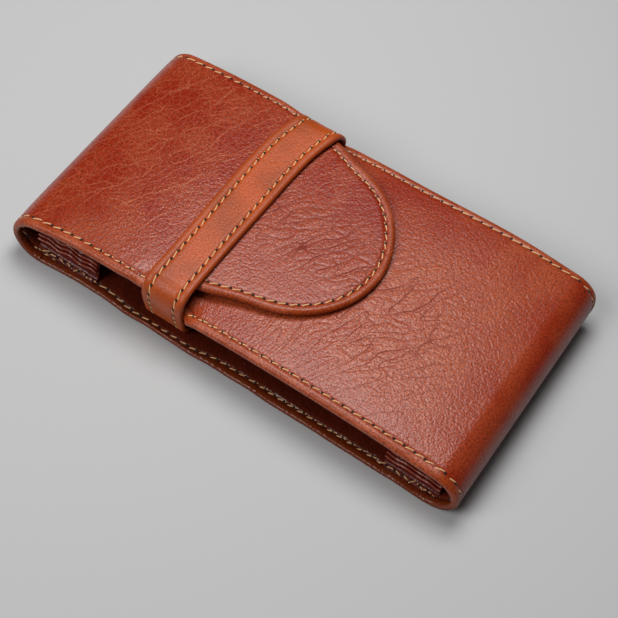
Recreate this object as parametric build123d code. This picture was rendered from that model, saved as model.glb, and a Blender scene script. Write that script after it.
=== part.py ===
from build123d import *
import math
import os

# Folded leather pen case, lying closed on its back
# X runs along the case with the flap's fold at -X, Y runs across it, Z is up
# The origin is on the table, under the middle of the case

# Overall
case_length = 168.0
case_width = 86.0

# Leather
outer_thickness = 1.4
lining_thickness = 1.0
rest_gap = 0.3
free_corner_radius = 2.5

# Folds at the two ends
flap_fold_radius = 10.5
front_fold_radius = 10.0
spine_angle = 90.0

# Front panel
front_rise = 1.4
front_crown_from_fold = 41.0

# Strap across the case
strap_width = 16.2
strap_from_flap_end = 58.3
strap_outer_thickness = 1.1
strap_lining_thickness = 0.7
strap_bend_radius = 5.0
strap_side_reach = 0.5
strap_foot_inset = 2.2
strap_foot_length = 6.5

# Tongue
tongue_neck_side_gap = 2.7
tongue_reach = 52.2
tongue_round_length = 32.6
tongue_round_half_width = 31.2

# Pen holders at the two ends
head_holder_length = 20.0
foot_holder_length = 16.5
holder_from_fold = 0.5
holder_edge_inset = 2.0
holder_height = 11.0
pad_thickness = 1.0
cover_thickness = 1.2
lane_count = 4
divider_thickness = 1.0
gusset_thickness = 0.8
gusset_inset = 2.4
pleat_count = 4
pleat_height = 1.5
pleat_depth = 1.6

# Thread rows
thread_width = 0.6
thread_height = 0.25
edge_thread_inset = 3.0
strap_thread_inset = 2.8
anchor_thread_inset = 2.0
holder_thread_inset = 1.6

# Values that follow from the sizes above
shell_thickness = outer_thickness + lining_thickness
strap_thickness = strap_outer_thickness + strap_lining_thickness
half_width = case_width / 2
flap_fold_x = flap_fold_radius - case_length / 2
front_fold_x = case_length / 2 - front_fold_radius
front_crown_z = 2 * front_fold_radius + front_rise
flap_top_z = front_crown_z + rest_gap + shell_thickness
flap_rise = flap_top_z - 2 * flap_fold_radius
strap_center_x = strap_from_flap_end - case_length / 2
strap_left_x = strap_center_x - strap_width / 2
strap_right_x = strap_center_x + strap_width / 2
flap_end_x = strap_left_x - rest_gap
front_end_x = strap_right_x + rest_gap
strap_base_z = shell_thickness
strap_top_z = flap_top_z + rest_gap + strap_thickness
tongue_neck_half_width = half_width + strap_side_reach - strap_thickness - tongue_neck_side_gap
tongue_tip_x = strap_center_x + tongue_reach
pad_top_z = shell_thickness + pad_thickness
cover_base_z = pad_top_z + holder_height
edge_row_y = half_width - edge_thread_inset


def export(name, shape):
    """Write one sub-part, as a solid or a group of solids."""
    solids = shape.solids()
    body = solids[0] if len(solids) == 1 else Compound(children=list(solids))
    body.label = name
    export_step(body, os.path.join("parts", name + ".step"))


def side_slab(face, width, y=0.0):
    """Extrude a face drawn in X and Z to a width across the case."""
    slab = extrude(Plane.XZ * face, amount=width / 2, both=True)
    return Pos(0, y, 0) * slab


def arc_face(center, radius, thickness, start, span):
    """A curved strip from a radius inwards, between two angles in degrees."""
    outer = CenterArc(center, radius, start, span)
    inner = CenterArc(center, radius - thickness, start, span)
    return make_face([outer, Line(outer @ 1, inner @ 1), inner, Line(inner @ 0, outer @ 0)])


def box_between(low, high):
    """A box from its low corner to its high corner."""
    size = [b - a for a, b in zip(low, high)]
    middle = [(a + b) / 2 for a, b in zip(low, high)]
    return Pos(*middle) * Box(*size)


def cover_arc(fold_radius, rise, run):
    """Radius and angle in degrees of the arc that leaves a fold smoothly and ends level."""
    height = fold_radius + rise
    radius = (run**2 + height**2 - fold_radius**2) / (2 * rise)
    return radius, math.degrees(math.asin(run / (radius - fold_radius)))


# Curves of the two covers, seen from the side
flap_radius, flap_slope = cover_arc(flap_fold_radius, flap_rise, flap_end_x - flap_fold_x)
front_radius, front_slope = cover_arc(front_fold_radius, front_rise, front_crown_from_fold)
flap_center = (flap_end_x, flap_top_z - flap_radius)
front_crown_x = front_fold_x - front_crown_from_fold
front_center = (front_crown_x, front_crown_z - front_radius)
front_end_slope = math.degrees(math.asin((front_crown_x - front_end_x) / front_radius))
flap_fold_center = (flap_fold_x, flap_fold_radius)
front_fold_center = (front_fold_x, front_fold_radius)


def fold_pieces(name, center, radius, slope, side):
    """The lower bend, the spine and the upper bend of one fold, in both layers."""
    bend_angle = (180 - spine_angle) / 2
    starts = {
        "lower_bend": (270, bend_angle),
        "spine": (270 + bend_angle * side, spine_angle),
        "upper_bend": (270 + (bend_angle + spine_angle) * side, bend_angle - slope),
    }
    for piece, (start, span) in starts.items():
        outer = arc_face(center, radius, outer_thickness, start, span * side)
        lining = arc_face(center, radius - outer_thickness, lining_thickness, start, span * side)
        export(f"{name}_{piece}", side_slab(outer, case_width))
        export(f"{name}_{piece}_lining", side_slab(lining, case_width))
    start, span = starts["spine"]
    row = arc_face(center, radius + thread_height, thread_height, start, span * side)
    export(f"{name}_spine_thread", thread_pair(row))


def thread_pair(row_face):
    """The same thread row near both long edges."""
    return Compound(children=[side_slab(row_face, thread_width, y) for y in (-edge_row_y, edge_row_y)])


def rounded_end(x, direction):
    """A plan form that rounds the free end of a panel as wide as the case."""
    reach = case_length
    plan = Pos(x - direction * reach / 2, 0) * RectangleRounded(reach, case_width, free_corner_radius)
    return extrude(plan, amount=case_length)


def back():
    """The flat back, its lining and the thread rows inside its long edges."""
    low_x, high_x = flap_fold_x, front_fold_x
    outer = box_between((low_x, -half_width, 0), (high_x, half_width, outer_thickness))
    lining = box_between((low_x, -half_width, outer_thickness), (high_x, half_width, shell_thickness))
    export("back_panel", outer)
    export("back_lining", lining)
    rows = []
    for y in (-edge_row_y, edge_row_y):
        for start, end in back_row_spans():
            low = (start, y - thread_width / 2, shell_thickness)
            high = (end, y + thread_width / 2, shell_thickness + thread_height)
            rows.append(box_between(low, high))
    export("back_thread", Compound(children=rows))


def back_row_spans():
    """Where the back's thread shows inside, between the holders and beside the strap."""
    left = holder_span("head")[1] + rest_gap
    right = holder_span("foot")[0] - rest_gap
    return [(left, flap_end_x), (front_end_x, right)]


def cover(name, center, radius, start, span, end_x, direction):
    """One curved cover in both layers, with the corners of its free end rounded."""
    shaper = rounded_end(end_x, direction)
    outer = arc_face(center, radius, outer_thickness, start, span)
    lining = arc_face(center, radius - outer_thickness, lining_thickness, start, span)
    export(f"{name}_panel", side_slab(outer, case_width) & shaper)
    export(f"{name}_lining", side_slab(lining, case_width) & shaper)


def flap():
    """The flap from its fold to the strap, and its thread."""
    start = 90 + flap_slope
    cover("flap", flap_center, flap_radius, start, -flap_slope, flap_end_x, 1)
    row_slope = flap_slope * (1 - free_corner_radius / (flap_end_x - flap_fold_x))
    row = arc_face(flap_center, flap_radius + thread_height, thread_height, start, -row_slope)
    export("flap_thread", thread_pair(row))


def tongue_plan(inset=0.0):
    """The tongue's outline, a tapering neck that runs smoothly into an oval tip."""
    length = tongue_round_length - inset
    half = tongue_round_half_width - inset
    center_x = tongue_tip_x - tongue_round_length
    neck = tongue_neck_half_width - inset
    u, v = (flap_end_x - center_x) / length, neck / half
    meet = math.atan2(v, u) - math.acos(1 / math.hypot(u, v))
    meet_x, meet_y = center_x + length * math.cos(meet), half * math.sin(meet)
    sides = [(flap_end_x, -neck), (meet_x, -meet_y), (meet_x, meet_y), (flap_end_x, neck)]
    oval = Pos(center_x, 0) * Ellipse(length, half)
    window = Pos(flap_end_x + case_length / 2, 0) * Rectangle(case_length, case_width)
    return make_face(Polyline(*sides, close=True)) + (oval & window)


def tongue():
    """The tongue that runs under the strap, in two layers, and its thread."""
    plan = tongue_plan()
    low = flap_top_z - shell_thickness
    export("tongue_lining", extrude(Pos(0, 0, low) * plan, amount=lining_thickness))
    export("tongue", extrude(Pos(0, 0, low + lining_thickness) * plan, amount=outer_thickness))
    row = tongue_plan(edge_thread_inset) - tongue_plan(edge_thread_inset + thread_width)
    open_end = Pos(flap_end_x + case_length / 2 + rest_gap, 0) * Rectangle(case_length, case_width)
    export("tongue_thread", extrude(Pos(0, 0, flap_top_z) * (row & open_end), amount=thread_height))


def front():
    """The front panel from the lower fold to its free end under the tongue, and its thread."""
    start, span = 90 - front_slope, front_slope + front_end_slope
    cover("front", front_center, front_radius, start, span, front_end_x, -1)
    row_radius = front_radius + thread_height
    row_span = span - math.degrees(edge_thread_inset / front_radius)
    row = arc_face(front_center, row_radius, thread_height, start, row_span)
    across_span = math.degrees(thread_width / front_radius)
    across = arc_face(front_center, row_radius, thread_height, start + row_span, across_span)
    end_row = side_slab(across, 2 * edge_row_y + thread_width)
    export("front_thread", Compound(children=[*thread_pair(row).solids(), *end_row.solids()]))


def strap_section(inset=0.0):
    """The strap's closed loop seen from the end, its sides leaning in to the feet."""
    top = half_width + strap_side_reach
    foot = half_width - strap_foot_inset
    points = [(-foot, strap_base_z), (foot, strap_base_z), (top, strap_top_z), (-top, strap_top_z)]
    loop = make_face(Polyline(*points, close=True))
    loop = fillet(loop.vertices(), strap_bend_radius)
    return offset(loop, -inset) if inset else loop


def strap():
    """The strap's outer leather and lining, and the threads that run along it."""
    foot_end = half_width - strap_foot_inset - strap_bend_radius - strap_foot_length
    between_feet = Pos(0, strap_base_z) * Rectangle(2 * foot_end, 2 * strap_bend_radius)
    layers = {
        "strap": strap_section() - strap_section(strap_outer_thickness),
        "strap_lining": strap_section(strap_outer_thickness) - strap_section(strap_thickness),
    }
    for name, ring in layers.items():
        export(name, strap_slab(ring - between_feet, strap_center_x, strap_width))
    bead = offset(strap_section(), thread_height) - strap_section()
    window_z = strap_base_z + strap_bend_radius + half_width
    top_only = Pos(0, window_z) * Rectangle(2 * case_width, case_width)
    reach = strap_width / 2 - strap_thread_inset
    rows = [strap_slab(bead & top_only, strap_center_x + x, thread_width) for x in (-reach, reach)]
    export("strap_thread", Compound(children=rows))
    anchors = []
    for side in (-1, 1):
        y = side * (foot_end + anchor_thread_inset)
        low = (strap_left_x, y - thread_width / 2, strap_base_z + strap_thickness)
        high = (strap_right_x, y + thread_width / 2, strap_base_z + strap_thickness + thread_height)
        anchors.append(box_between(low, high))
    export("strap_anchor_thread", Compound(children=anchors))


def strap_slab(face, x, width):
    """Extrude a face drawn in Y and Z to a width along the case."""
    return Pos(x, 0, 0) * extrude(Plane.YZ * face, amount=width / 2, both=True)


def holder_span(end):
    """The lowest and highest X of the holder at one end."""
    if end == "head":
        start = flap_fold_x + holder_from_fold
        return start, start + head_holder_length
    start = front_fold_x - holder_from_fold
    return start - foot_holder_length, start


def gusset_profile():
    """A pleated side wall seen from the end, plain below and folded above."""
    wall_y = half_width - gusset_inset - pleat_depth
    plain_top = cover_base_z - pleat_count * pleat_height
    outer = [(wall_y, pad_top_z), (wall_y, plain_top)]
    for i in range(pleat_count):
        low = plain_top + i * pleat_height
        outer.append((wall_y + pleat_depth, low + pleat_height / 2))
        outer.append((wall_y, low + pleat_height))
    inner = [(y - gusset_thickness, z) for y, z in reversed(outer)]
    return make_face(Polyline(*outer, *inner, close=True))


def holder(end):
    """One pen holder: pad, pleated sides, dividers between the lanes, and cover."""
    low_x, high_x = holder_span(end)
    center_x = (low_x + high_x) / 2
    side = half_width - holder_edge_inset
    export(f"{end}_pad", box_between((low_x, -side, shell_thickness), (high_x, side, pad_top_z)))
    cover_top_z = cover_base_z + cover_thickness
    cover_side = half_width - gusset_inset - pleat_depth
    cover = box_between((low_x, -cover_side, cover_base_z), (high_x, cover_side, cover_top_z))
    export(f"{end}_cover", cover)
    wall = strap_slab(gusset_profile(), center_x, high_x - low_x)
    export(f"{end}_far_gusset", wall)
    export(f"{end}_near_gusset", mirror(wall, Plane.XZ))
    export(f"{end}_dividers", Compound(children=divider_row(low_x, high_x)))
    rows = []
    for y in (-1, 1):
        middle = y * (side - holder_thread_inset / 2)
        low = (low_x, middle - thread_width / 2, pad_top_z)
        high = (high_x, middle + thread_width / 2, pad_top_z + thread_height)
        rows.append(box_between(low, high))
    mouth_x = high_x - holder_thread_inset if end == "head" else low_x + holder_thread_inset
    low = (mouth_x - thread_width / 2, -cover_side + holder_thread_inset, cover_top_z)
    high = (mouth_x + thread_width / 2, cover_side - holder_thread_inset, cover_top_z + thread_height)
    export(f"{end}_pad_thread", Compound(children=rows))
    export(f"{end}_cover_thread", box_between(low, high))


def divider_row(low_x, high_x):
    """The upright webs that part the pens, just under the cover."""
    inner = half_width - gusset_inset - pleat_depth - gusset_thickness
    pitch = 2 * inner / lane_count
    top = cover_base_z - rest_gap
    webs = []
    for i in range(1, lane_count):
        y = -inner + i * pitch
        low = (low_x, y - divider_thickness / 2, pad_top_z)
        webs.append(box_between(low, (high_x, y + divider_thickness / 2, top)))
    return webs


def main():
    """Write every sub-part."""
    os.makedirs("parts", exist_ok=True)
    back()
    fold_pieces("flap", flap_fold_center, flap_fold_radius, flap_slope, -1)
    fold_pieces("front", front_fold_center, front_fold_radius, front_slope, 1)
    flap()
    tongue()
    front()
    strap()
    for end in ("head", "foot"):
        holder(end)


main()
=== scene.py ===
import itertools
import math

import bmesh
import bpy
import numpy as np
from bpy.props import FloatProperty, FloatVectorProperty, IntProperty, PointerProperty
from mathutils import Matrix, Vector
from mathutils.geometry import delaunay_2d_cdt


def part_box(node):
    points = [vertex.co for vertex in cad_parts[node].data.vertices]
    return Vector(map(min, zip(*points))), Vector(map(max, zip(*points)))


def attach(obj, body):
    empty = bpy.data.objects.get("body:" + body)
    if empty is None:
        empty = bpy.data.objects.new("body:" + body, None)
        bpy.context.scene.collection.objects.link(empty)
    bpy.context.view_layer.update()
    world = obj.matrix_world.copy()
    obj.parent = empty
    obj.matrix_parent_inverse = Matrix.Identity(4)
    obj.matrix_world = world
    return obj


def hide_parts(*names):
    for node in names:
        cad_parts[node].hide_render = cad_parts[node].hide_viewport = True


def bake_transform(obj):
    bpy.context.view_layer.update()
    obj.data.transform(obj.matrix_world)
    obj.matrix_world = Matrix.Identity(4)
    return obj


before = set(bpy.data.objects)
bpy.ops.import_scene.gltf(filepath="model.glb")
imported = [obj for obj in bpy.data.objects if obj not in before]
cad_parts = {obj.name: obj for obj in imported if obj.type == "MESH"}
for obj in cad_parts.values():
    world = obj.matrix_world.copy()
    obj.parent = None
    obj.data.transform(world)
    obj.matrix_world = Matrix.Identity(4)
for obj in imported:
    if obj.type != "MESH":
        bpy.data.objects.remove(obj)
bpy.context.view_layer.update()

bl_info = {
    "name": "Folded leather pen case",
    "version": (1, 0, 0),
    "blender": (4, 5, 0),
    "location": "View3D > Sidebar > Pen Case",
    "description": "Dresses the frame of a folded pen case in creased and stitched leather",
    "category": "Add Mesh",
}

MM = 0.001

# Points that are worked on at a time, and the gap under which two points are one
PORTION = 4000
TOUCHING = 1e-7

# Spacing of an outline's points. In the channel of a seam the mesh is finer, in a band and in a plate
OUTLINE_STEP = 0.7 * MM
CHANNEL_HALF = 0.8 * MM
BAND_CELL = 0.2 * MM
PLATE_CELL = 0.3 * MM

# Half width of the bead that stands up between a seam and its edge
BEAD_HALF = 0.8 * MM

# Turn from face to face above which an edge is sharp
SHARP_FROM = math.radians(50)

# How much longer than wide a pucker is, and how sharply only the outermost edges droop
PUCKER_STRETCH = 2.2
DROOP_POWER = 8

# Each side of a pen holder: its plain share, how far its pleats lean in, and how much they shorten upwards
PLAIN_SHARE = 0.34
PLEAT_LEAN = 1.1 * MM
PLEAT_FADE = 0.4

# Distances from an edge that the holders' leather reads: on a plain wall, how much less on a pleat's crest,
# which gets the light pleat colour as a painted highlight, and how much more on a flat sheet
PLAIN_RIM = 6 * MM
CREST_RIM = 5.6 * MM
INNER_RIM = 5 * MM

# Stitches of the pen holders to those of the case: distance, length and thickness
HOLDER_STITCHES = (0.75, 0.8, 0.85)

# Specular level of the leathers, a little below the shader's usual 0.5
SPECULAR = 0.38

# Lights: azimuth and elevation in degrees, distance and size in metres
KEY_PLACE = (211, 75, 0.52, 0.27)
FILL_PLACE = (330, 48, 1.2, 0.6)
FLOOR_REACH = 6.0


# Sizes taken from the frame


def side(node, corner, axis):
    """One side of a CAD node's box, to a tenth of a millimetre."""
    return round(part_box(node)[corner][axis], 4)


HALF_WIDTH = side("back_panel", 1, 1)
OUTER = side("back_panel", 1, 2)
SHELL = side("back_lining", 1, 2)
FLAP_FOLD_X = side("back_panel", 0, 0)
FRONT_FOLD_X = side("back_panel", 1, 0)
FLAP_FOLD_RADIUS = FLAP_FOLD_X - side("flap_spine", 0, 0)
FRONT_FOLD_RADIUS = side("front_spine", 1, 0) - FRONT_FOLD_X
FLAP_END_X = side("flap_panel", 1, 0)
FLAP_TOP_Z = side("flap_panel", 1, 2)
FRONT_END_X = side("front_panel", 0, 0)
FRONT_TOP_Z = side("front_panel", 1, 2)
TONGUE_TIP_X = side("tongue", 1, 0)
NECK_HALF = side("tongue", 1, 1)
STRAP_LOW_X = side("strap", 0, 0)
STRAP_HIGH_X = side("strap", 1, 0)
STRAP_TOP_Z = side("strap", 1, 2)
STRAP_OUTER = STRAP_TOP_Z - side("strap_lining", 1, 2)
STRAP_REACH = side("strap", 1, 1)
STRAP_X = (STRAP_LOW_X + STRAP_HIGH_X) / 2
STRAP_HALF_WIDTH = (STRAP_HIGH_X - STRAP_LOW_X) / 2
ENDS = {"head": "flap", "foot": "front"}


# What a user may change


def length(name, text, default):
    """A length property, in metres."""
    return FloatProperty(name=name, description=text, default=default, min=0, precision=5, unit="LENGTH")


def angle(name, text, default):
    """An angle property, given in degrees."""
    return FloatProperty(name=name, description=text, default=math.radians(default), subtype="ANGLE")


def place(name, text, default):
    """A distance that may be negative, in metres."""
    return FloatProperty(name=name, description=text, default=default, precision=5, unit="LENGTH")


def amount(name, text, default, unit="NONE", least=0.0):
    """A number that is neither a length nor an angle."""
    return FloatProperty(name=name, description=text, default=default, min=least, unit=unit)


def colour(name, text, default):
    """A colour property."""
    return FloatVectorProperty(name=name, description=text, default=default, subtype="COLOR", min=0, max=1)


class PENCASE_PG_leather(bpy.types.PropertyGroup):
    """Forms of the leather pieces"""

    cell: length("Mesh cell", "Spacing of the points on faces that show", 0.5 * MM)
    hidden_cell: length("Hidden cell", "Spacing of the points on faces that are glued", 2.0 * MM)
    edge_round: length("Edge rounding", "Radius of the outer leather's burnished edge", 1.15 * MM)
    lining_round: length("Lining rounding", "Radius of the lining's burnished edge", 0.8 * MM)
    corner: length("Corner", "Radius of the corners of the front's free end", 1.3 * MM)
    shoulder: length("Shoulder", "Radius of the two turns from the flap to the tongue", 1.3 * MM)
    skew: length("Skew", "How far the strap and what it holds lie forwards at the far side", 3.2 * MM)
    sway: length("Sway", "How far the tongue lies towards the far side", 3.0 * MM)
    bulge: length("Bulge", "How far the far edges of the covers and the strap stand out", 1.8 * MM)
    flare: length("Flare", "How much further they stand out at the front's fold", 2.4 * MM)
    near_flare: length("Near flare", "How far the near edges stand out at the flap's fold", 1.1 * MM)
    lip: length("Lip", "How far the back's near edge is bent up and out before the strap", 1.0 * MM)
    strap_reach: length("Strap reach", "How much further the strap's two bends stand out", 1.1 * MM)
    tuck: length("Tuck", "How far the front's free end runs on under the strap", 6.0 * MM)
    strap_bend: length("Strap bend", "Radius of the strap's bends", 6.8 * MM)
    strap_taper: length("Strap taper", "How much narrower the strap is at its near end", 1.0 * MM)
    press: length("Press", "How far the strap presses down the edges below it", 1.0 * MM)
    crown_run: length("Crown run", "From the fold to the highest line of the front panel", 41 * MM)
    oval_length: length("Oval length", "From the tongue's widest line to its tip", 32.6 * MM)
    oval_half: length("Oval half width", "Half the width of the tongue's oval", 31.2 * MM)
    droop: length("Edge droop", "How far the long free edges hang below the middle", 0.5 * MM)
    bead: length("Bead", "How far the strip outside the stitches stands up", 0.1 * MM)
    pucker: length("Pucker", "Depth of the leather's folds and hollows", 0.13 * MM)
    pucker_size: length("Pucker size", "Usual distance between the folds", 4.0 * MM)
    crease_turn: angle("Crease turn", "Direction of the creases, from the long side of the case", 62)
    fan_x: place("Fan place", "Where the front's creases meet, along the case", 8 * MM)
    fan_y: place("Fan distance", "Where the front's creases meet, across the case", -79 * MM)
    pleats: IntProperty(name="Pleats", description="Folds in each side of a pen holder", default=4, min=1)
    pleat_reach: length("Pleat reach", "How far the lowest pleat stands out of its side", 1.6 * MM)
    pleat_wave: length("Pleat wave", "Height of the waves along a pleat", 0.4 * MM)
    pleat_wave_run: length("Pleat wave run", "Length of one wave along a pleat", 8 * MM)
    fold_reach: length("Fold reach", "How far the holder's sides run on into the fold", 3.5 * MM)


class PENCASE_PG_thread(bpy.types.PropertyGroup):
    """Sizes of the stitches"""

    pitch: length("Pitch", "Distance from stitch to stitch", 3.6 * MM)
    stitch: length("Stitch", "Length of the thread that shows in one stitch", 3.15 * MM)
    thickness: length("Thickness", "Thickness of the thread", 0.48 * MM)
    slant: angle("Slant", "Turn of each stitch from the line of its row", 13)
    messy_slant: angle("Messy slant", "Most that a stitch of the pen holders strays from its row", 38)
    hole: length("Hole", "Length of a needle hole", 1.15 * MM)
    seam: length("Seam inset", "From the case's edge to its stitches", 3.0 * MM)
    strap_seam: length("Strap seam inset", "From the strap's edge to its stitches", 3.1 * MM)
    groove: length("Groove", "Depth of the channel that the stitches are drawn into", 0.28 * MM)
    groove_half: length("Groove half width", "Half the width of that channel", 0.55 * MM)


class PENCASE_PG_finish(bpy.types.PropertyGroup):
    """Colours and grain"""

    deep: colour("Deep leather", "Colour of the smooth outer leather", (0.30, 0.012, 0.001))
    # Partly painted sheen: besides real rubbing, this lighter and pinker colour stands in for the light's
    # sheen on the front panel and the tongue
    worn: colour("Worn leather", "Colour where the outer leather is rubbed and pulled", (0.50, 0.098, 0.032))
    crack: colour("Crease", "Colour at the bottom of a crease", (0.22, 0.017, 0.003))
    vein: colour("Vein", "Colour of the pale creases of the flap", (0.58, 0.16, 0.08))
    burnish: colour("Burnished edge", "Colour of the rubbed edges", (0.40, 0.062, 0.008))
    strap: colour("Strap leather", "Colour of the strap", (0.48, 0.075, 0.007))
    lining: colour("Lining leather", "Colour of the lining", (0.10, 0.012, 0.005))
    holder: colour("Holder leather", "Colour of the pen holders", (0.13, 0.010, 0.005))
    # Painted highlight: this light colour is laid along the crests of the holders' pleats
    fold: colour("Pleat", "Colour of the rubbed pleats of the pen holders", (0.6, 0.18, 0.1))
    thread: colour("Thread", "Colour of the thread", (0.9, 0.53, 0.25))
    # Painted shade: the needle holes are dark balls of this colour, standing in for the shadow inside each
    # hole
    hole: colour("Needle hole", "Colour inside the needle holes", (0.02, 0.005, 0.002))
    grain: length("Grain", "Size of the leather's pebbles", 0.8 * MM)
    crease: length("Crease distance", "Usual distance between creases", 3.6 * MM)
    stretch: amount("Crease stretch", "Length of a crease to its distance", 3.6, least=1.0)


class PENCASE_PG_stage(bpy.types.PropertyGroup):
    """Camera and lights"""

    azimuth: angle("Azimuth", "Camera's turn from the case's near side", 25.73)
    elevation: angle("Elevation", "Camera's height above the horizon", 58)
    roll: angle("Roll", "Camera's turn about its own line of sight", 9.25)
    distance: length("Distance", "From the camera to the case", 0.53595)
    right: place("Right", "Aim to the right of the case's middle", 2.69 * MM)
    up: place("Up", "Aim above the case's middle", -7.67 * MM)
    lens: amount("Lens", "Focal length in millimetres", 95.05, "CAMERA")
    key_power: amount("Key power", "Power of the soft key light in watts", 1.8, "POWER")
    fill_power: amount("Fill power", "Power of the fill light in watts", 6.2, "POWER")
    sky: amount("Sky", "Strength of the even light from all round", 0.05)
    floor: colour("Floor", "Colour of the floor", (0.58, 0.58, 0.58))


def settings(name):
    """One group of this add-on's properties, such as leather."""
    return getattr(bpy.context.scene, "pen_case_" + name)


def tone(name, share=1.0):
    """A colour of this add-on's properties, or a darker or lighter one."""
    return tuple(min(1.0, share * part) for part in getattr(settings("finish"), name))


# Helpers for shapes


def smooth(low, high, value):
    """0 below low, 1 above high and a smooth rise between them."""
    part = np.clip((value - low) / (high - low), 0, 1)
    return part * part * (3 - 2 * part)


def between(rise, fall, value):
    """1 after a smooth rise and before a smooth fall, each from one place to another, and else 0."""
    return smooth(*rise, value) * (1 - smooth(*fall, value))


def waves(points, size, seed):
    """Smooth random waves from -1 to 1, with about one rise or fall in each size."""
    lattice = 48
    table = np.random.default_rng(seed).uniform(-1, 1, (lattice,) * 3)
    cell = points / size + lattice
    base = np.floor(cell).astype(int)
    part = cell - base
    part = part * part * (3 - 2 * part)
    total = np.zeros(len(points))
    for corner in itertools.product((0, 1), repeat=3):
        index = (base + np.array(corner)) % lattice
        weight = np.prod(np.where(np.array(corner) == 1, part, 1 - part), axis=1)
        total += weight * table[index[:, 0], index[:, 1], index[:, 2]]
    return total


def hollows(flow):
    """How deep the leather lies between its puckers, from 0 at the top to 1 at the bottom of a fold."""
    size = settings("leather").pucker_size
    flow = np.column_stack([flow[:, 0] / PUCKER_STRETCH, flow[:, 1], 0 * flow[:, 0]])
    sway = np.stack([waves(flow, size * 1.5, seed) for seed in (1, 2, 3)], axis=1)
    flow = flow + sway * size * 0.5
    fold = np.clip(1 - np.abs(waves(flow, size, 11)) / 0.4, 0, 1) ** 1.5
    broad = 0.5 + 0.5 * waves(flow, size * 2.2, 5)
    return 0.25 * fold + 0.75 * broad


def raised(z):
    """0 near the table, 1 at a cover's height."""
    return smooth(3 * MM, 15 * MM, z)


def off_table(z):
    """0 on the underside, 1 a little above it."""
    return smooth(0.5 * MM, 5 * MM, z)


def over_front(points):
    """Whether each point of a cover's outer face lies above the front panel."""
    return points[:, 2] > FRONT_TOP_Z + 0.1 * MM


def nothing(points):
    """0 for each point."""
    return 0 * points[:, 0]


def run_lengths(points):
    """How far along a line each of its points lies."""
    return np.concatenate([[0], np.cumsum(np.linalg.norm(np.diff(points, axis=0), axis=1))])


def along_row(values, size, seed):
    """Smooth random waves that change along one axis only."""
    return waves(np.stack([values, 0 * values, 0 * values], axis=1), size, seed)


def bump_across(gap, half_width):
    """1 where a gap is nothing, falling off smoothly to both sides."""
    return np.exp(-((gap / half_width) ** 2))


class Route:
    """A line in a plane that is followed by its length: where it is, and which way its outer side looks."""

    def __init__(self, points):
        points = np.array(points, float)
        self.points = points
        self.lengths = run_lengths(points)
        runs = np.gradient(points, self.lengths, axis=0)
        runs /= np.linalg.norm(runs, axis=1)[:, None]
        self.outs = np.stack([-runs[:, 1], runs[:, 0]], axis=1)
        self.length = self.lengths[-1]

    def at(self, along):
        """Points and outward directions at distances along the line."""
        pick = [np.interp(along, self.lengths, column) for column in (*self.points.T, *self.outs.T)]
        outs = np.stack(pick[2:], axis=-1)
        outs /= np.linalg.norm(outs, axis=-1)[..., None]
        return np.stack(pick[:2], axis=-1), outs


def arc_points(center, radius, start, end, step=0.05 * MM):
    """Points of an arc between two angles in radians."""
    count = max(3, int(abs(end - start) * radius / step))
    turns = np.linspace(start, end, count)
    return [(center[0] + radius * math.cos(t), center[1] + radius * math.sin(t)) for t in turns]


def rounded_points(corners, radius):
    """A line through corners, with each inner corner rounded."""
    corners = [Vector(c) for c in corners]
    points = [corners[0]]
    for before, corner, after in zip(corners, corners[1:], corners[2:]):
        run_in = (corner - before).normalized()
        run_out = (after - corner).normalized()
        turn = run_in.angle_signed(run_out)
        cut = radius * math.tan(abs(turn) / 2)
        hand = -1 if turn > 0 else 1
        inward = Vector((-run_in.y, run_in.x)) * hand
        start = corner - run_in * cut
        center = start + inward * radius
        first = math.atan2(start.y - center.y, start.x - center.x)
        points += [Vector(p) for p in arc_points(center, radius, first, first - turn)]
    points.append(corners[-1])
    kept = [points[0]]
    for point in points[1:]:
        if (point - kept[-1]).length > TOUCHING:
            kept.append(point)
    return kept


def spaced(low, high, step):
    """Evenly spaced values from low to high, both included."""
    return np.linspace(low, high, max(2, round((high - low) / step) + 1))


def distance_to(points, line):
    """Shortest distance from each point to an open line, in a plane."""
    starts, runs = line[:-1], np.diff(line, axis=0)
    square = (runs**2).sum(1)
    nearest = []
    for part in np.array_split(points, max(1, len(points) // PORTION)):
        gap = part[:, None] - starts[None]
        share_along = np.clip((gap * runs).sum(2) / square, 0, 1)
        nearest.append(np.sqrt(((gap - share_along[..., None] * runs) ** 2).sum(2).min(1)))
    return np.concatenate(nearest)


def inside(points, loop):
    """Whether each point lies inside a closed line."""
    ax, ay = loop.T
    bx, by = np.roll(loop, -1, axis=0).T
    found = []
    for part in np.array_split(points, max(1, len(points) // PORTION)):
        x, y = part[:, 0, None], part[:, 1, None]
        crosses = (ay > y) != (by > y)
        rise = np.where(by == ay, 1, by - ay)
        found.append((crosses & (x < (bx - ax) * (y - ay) / rise + ax)).sum(1) % 2 == 1)
    return np.concatenate(found)


def grid_in(loop, cell):
    """Evenly spread points inside a closed line, clear of the line itself."""
    low, high = loop.min(0), loop.max(0)
    columns = np.arange(low[0] + cell / 2, high[0], cell)
    rows = np.arange(low[1] + cell / 2, high[1], cell)
    grid = np.stack(np.meshgrid(columns, rows), axis=-1)
    grid[::2, :, 0] += cell / 2
    grid = grid.reshape(-1, 2)
    grid = grid[inside(grid, loop)]
    return grid[distance_to(grid, np.concatenate([loop, loop[:1]])) > 0.6 * cell]


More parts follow.
